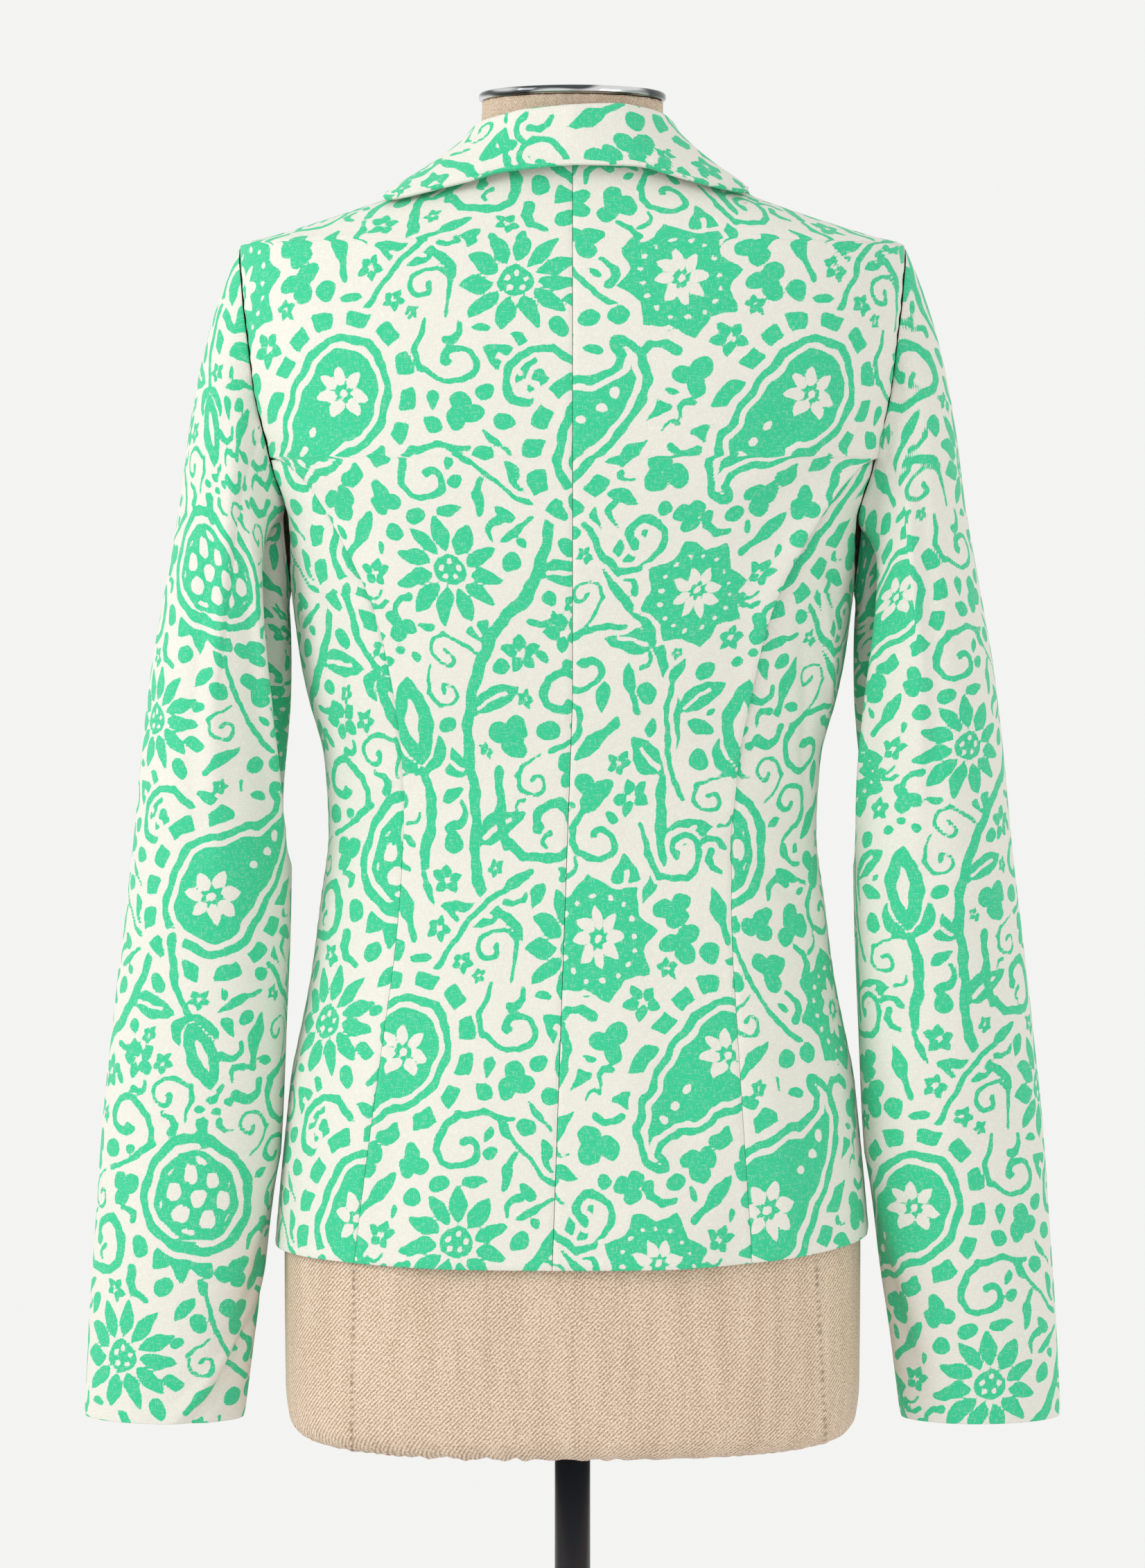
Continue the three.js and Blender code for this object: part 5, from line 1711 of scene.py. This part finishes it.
def round_uv(mesh, girth, heights):
    """A round body's own coordinates: length round it and height, its last column met without a jump."""
    corner = np.empty(len(mesh.loops), np.int32)
    mesh.loops.foreach_get("vertex_index", corner)
    start = np.empty(len(mesh.polygons), np.int32)
    mesh.polygons.foreach_get("loop_start", start)
    size = np.diff(np.append(start, len(corner)))
    columns = len(girth) - 1
    ring = np.minimum(corner // columns, len(heights) - 1)
    u = girth[corner % columns]
    far = np.repeat(np.maximum.reduceat(u, start), size) - u > girth[-1] / 2
    u = np.where(far, u + girth[-1], u)
    uv = mesh.uv_layers.new(name="cloth")
    uv.data.foreach_set("uv", np.stack([u, heights[ring]], axis=-1).astype(np.float32).ravel())


def closed_stack(name, points, ends):
    """A closed body from rings of points, each end closed by a fan about a point."""
    rows, columns = points.shape[:2]
    index = np.arange(rows)[:, None] * columns + np.arange(columns + 1) % columns
    first, last = rows * columns, rows * columns + 1
    caps = [
        np.stack([index[0, 1:], index[0, :-1], np.full(columns, first)], axis=-1),
        np.stack([index[-1, :-1], index[-1, 1:], np.full(columns, last)], axis=-1),
    ]
    every = np.concatenate([points.reshape(-1, 3), ends])
    return mesh_of(name, every * MM, facing_out(every, [quads(index, False), *caps]))


def turned_piece(name, profile, steps, finish, slot, node):
    """A turned solid from its profile of radius and height."""
    radius, height = np.array(profile, float).T
    turns = np.linspace(0, TURN, steps, endpoint=False)
    points = stacked(radius[:, None] * np.sin(turns), radius[:, None] * np.cos(turns), height[:, None])
    mesh = closed_stack(name, points, [[0, 0, height[0]], [0, 0, height[-1]]])
    return add_piece(name, mesh, finish, slot, node)


CAP_PROFILE = ((50.2, 1445.6), (51.3, 1445.9), (52, 1446.8), (52, 1448.8), (51.4, 1449.7), (50.4, 1450))
POLE_PROFILE = ((10, 30.3), (10, 691.4))
FLANGE_PROFILE = ((41, 691.7), (42, 692.7), (42, 698.7), (41, 699.7))
BASE_PROFILE = (
    (163, 0),
    (165, 1.5),
    (165, 6),
    (164, 7.8),
    (162, 9),
    (26, 9),
    (24, 10),
    (22.5, 20),
    (21.5, 28),
    (20, 30),
)


def button_height(x, y):
    """Height of the button's upper face: a round rim, a dished middle and four holes."""
    r = np.hypot(x, y)
    dish_start, dish_end = (BUTTON_RADIUS * share for share in BUTTON_DISH_EDGE)
    rounded = smooth_step(r, BUTTON_RADIUS - BUTTON_RIM_WIDTH, BUTTON_RADIUS) ** 2
    dish = BUTTON_DISH * (1 - smooth_step(r, dish_start, dish_end))
    hole = bell(np.hypot(np.abs(x) - BUTTON_HOLE_OFFSET, np.abs(y) - BUTTON_HOLE_OFFSET) / BUTTON_HOLE)
    return BUTTON_THICK - BUTTON_RIM_DROP * rounded - dish - BUTTON_HOLE_DEPTH * hole**2


def button_frame():
    """The button's place on the right front, and its three axes."""
    out = body_normal(np.array([-math.pi]), np.array([float(BUTTON_HEIGHT)]))[0]
    middle = smooth_body(np.array([-math.pi]), np.array([float(BUTTON_HEIGHT)]))[0] + out * SEAM_GAP
    aside = unit(np.cross([0.0, 0.0, 1.0], out))
    return middle, aside, np.cross(out, aside), out


def on_button(local):
    middle, aside, above, out = button_frame()
    return middle + local[..., :1] * aside + local[..., 1:2] * above + local[..., 2:] * out


def button_disc():
    radii = np.linspace(BUTTON_RADIUS, 0.2, 64)
    turns = np.linspace(0, TURN, 120, endpoint=False)
    x, y = radii[:, None] * np.sin(turns), radii[:, None] * np.cos(turns)
    face = stacked(x, y, button_height(x, y))
    back_x, back_y = x[1::-1] * BUTTON_BACK_SHARE, y[1::-1] * BUTTON_BACK_SHARE
    under = stacked(back_x, back_y, np.array([[0.0], [BUTTON_BACK_BEVEL]]))
    ends = on_button(np.array([[0, 0, 0.0], [0, 0, BUTTON_THICK - BUTTON_DISH]]))
    mesh = closed_stack("button", on_button(np.concatenate([under, face])), ends)
    add_piece("button_fine", mesh, plain_finish("horn", HORN, HORN_ROUGHNESS), "button", "button")


def button_threads():
    """Two stitches that arch from hole to hole."""
    thread = plain_finish("thread", SEWING_THREAD, SEWING_ROUGHNESS)
    lowest = BUTTON_THICK - BUTTON_DISH - THREAD_SINK
    for row in (-1, 1):
        along = np.linspace(-1, 1, 17)[:, None]
        around = np.linspace(0, TURN, 12, endpoint=False)
        level = lowest + THREAD_ARCH * np.sqrt(1 - along**2 * 0.98)
        u = along * BUTTON_HOLE_OFFSET + 0 * around
        v = row * BUTTON_HOLE_OFFSET + THREAD_RADIUS * np.sin(around) + 0 * along
        tube = stacked(u, v, level + THREAD_RADIUS * np.cos(around))
        mesh = closed_stack("thread", on_button(tube), on_button(tube[[0, -1]].mean(axis=1)))
        add_piece("button_thread", mesh, thread, "button", "button")


def button():
    button_disc()
    button_threads()


def stand():
    steel = plain_finish("black_steel", BLACK_STEEL, STEEL_ROUGHNESS)
    turned_piece("cap_fine", CAP_PROFILE, 192, chrome_finish(), "chrome", "neck_cap")
    turned_piece("pole_fine", POLE_PROFILE, 64, steel, "black_steel", "pole")
    turned_piece("flange_fine", FLANGE_PROFILE, 96, steel, "black_steel", "flange")
    turned_piece("base_fine", BASE_PROFILE, 192, steel, "black_steel", "base_plate")


def camera():
    made = bpy.data.objects.new("camera", bpy.data.cameras.new("camera"))
    bpy.context.scene.collection.objects.link(made)
    made.location = CAMERA_PLACE
    made.rotation_euler = (math.radians(90 - CAMERA_PITCH), 0, math.pi)
    made.data.lens = CAMERA_LENS
    bpy.context.scene.camera = made


def area_light(name, place, aim, size, power):
    made = bpy.data.objects.new(name, bpy.data.lights.new(name, "AREA"))
    bpy.context.scene.collection.objects.link(made)
    made.location = place
    made.rotation_euler = (Vector(aim) - Vector(place)).to_track_quat("-Z", "Y").to_euler()
    made.data.shape = "RECTANGLE"
    made.data.size, made.data.size_y = size
    made.data.energy = power


def floor():
    """A pale floor under the stand, below the main view."""
    turns = np.linspace(0, TURN, 96, endpoint=False)
    levels = np.array(FLOOR_LEVELS, float)[:, None]
    points = stacked(FLOOR_RADIUS * np.sin(turns), FLOOR_RADIUS * np.cos(turns), levels)
    mesh = closed_stack("floor", points, [[0, 0, level] for level in FLOOR_LEVELS])
    made = bpy.data.objects.new("floor", mesh)
    bpy.context.scene.collection.objects.link(made)
    mesh.materials.append(plain_finish("floor", FLOOR, FLOOR_ROUGHNESS))
    mesh.polygons.foreach_set("use_smooth", np.zeros(len(mesh.polygons), bool))


def lights():
    world = bpy.data.worlds.new("world")
    bpy.context.scene.world = world
    world.use_nodes = True
    background = world.node_tree.nodes["Background"]
    background.inputs["Color"].default_value = BACKGROUND
    background.inputs["Strength"].default_value = 1.0
    for light in LIGHTS:
        area_light(*light)
    bpy.context.scene.view_settings.view_transform = "Standard"


blazer()
button()
form()
stand()
camera()
floor()
lights()
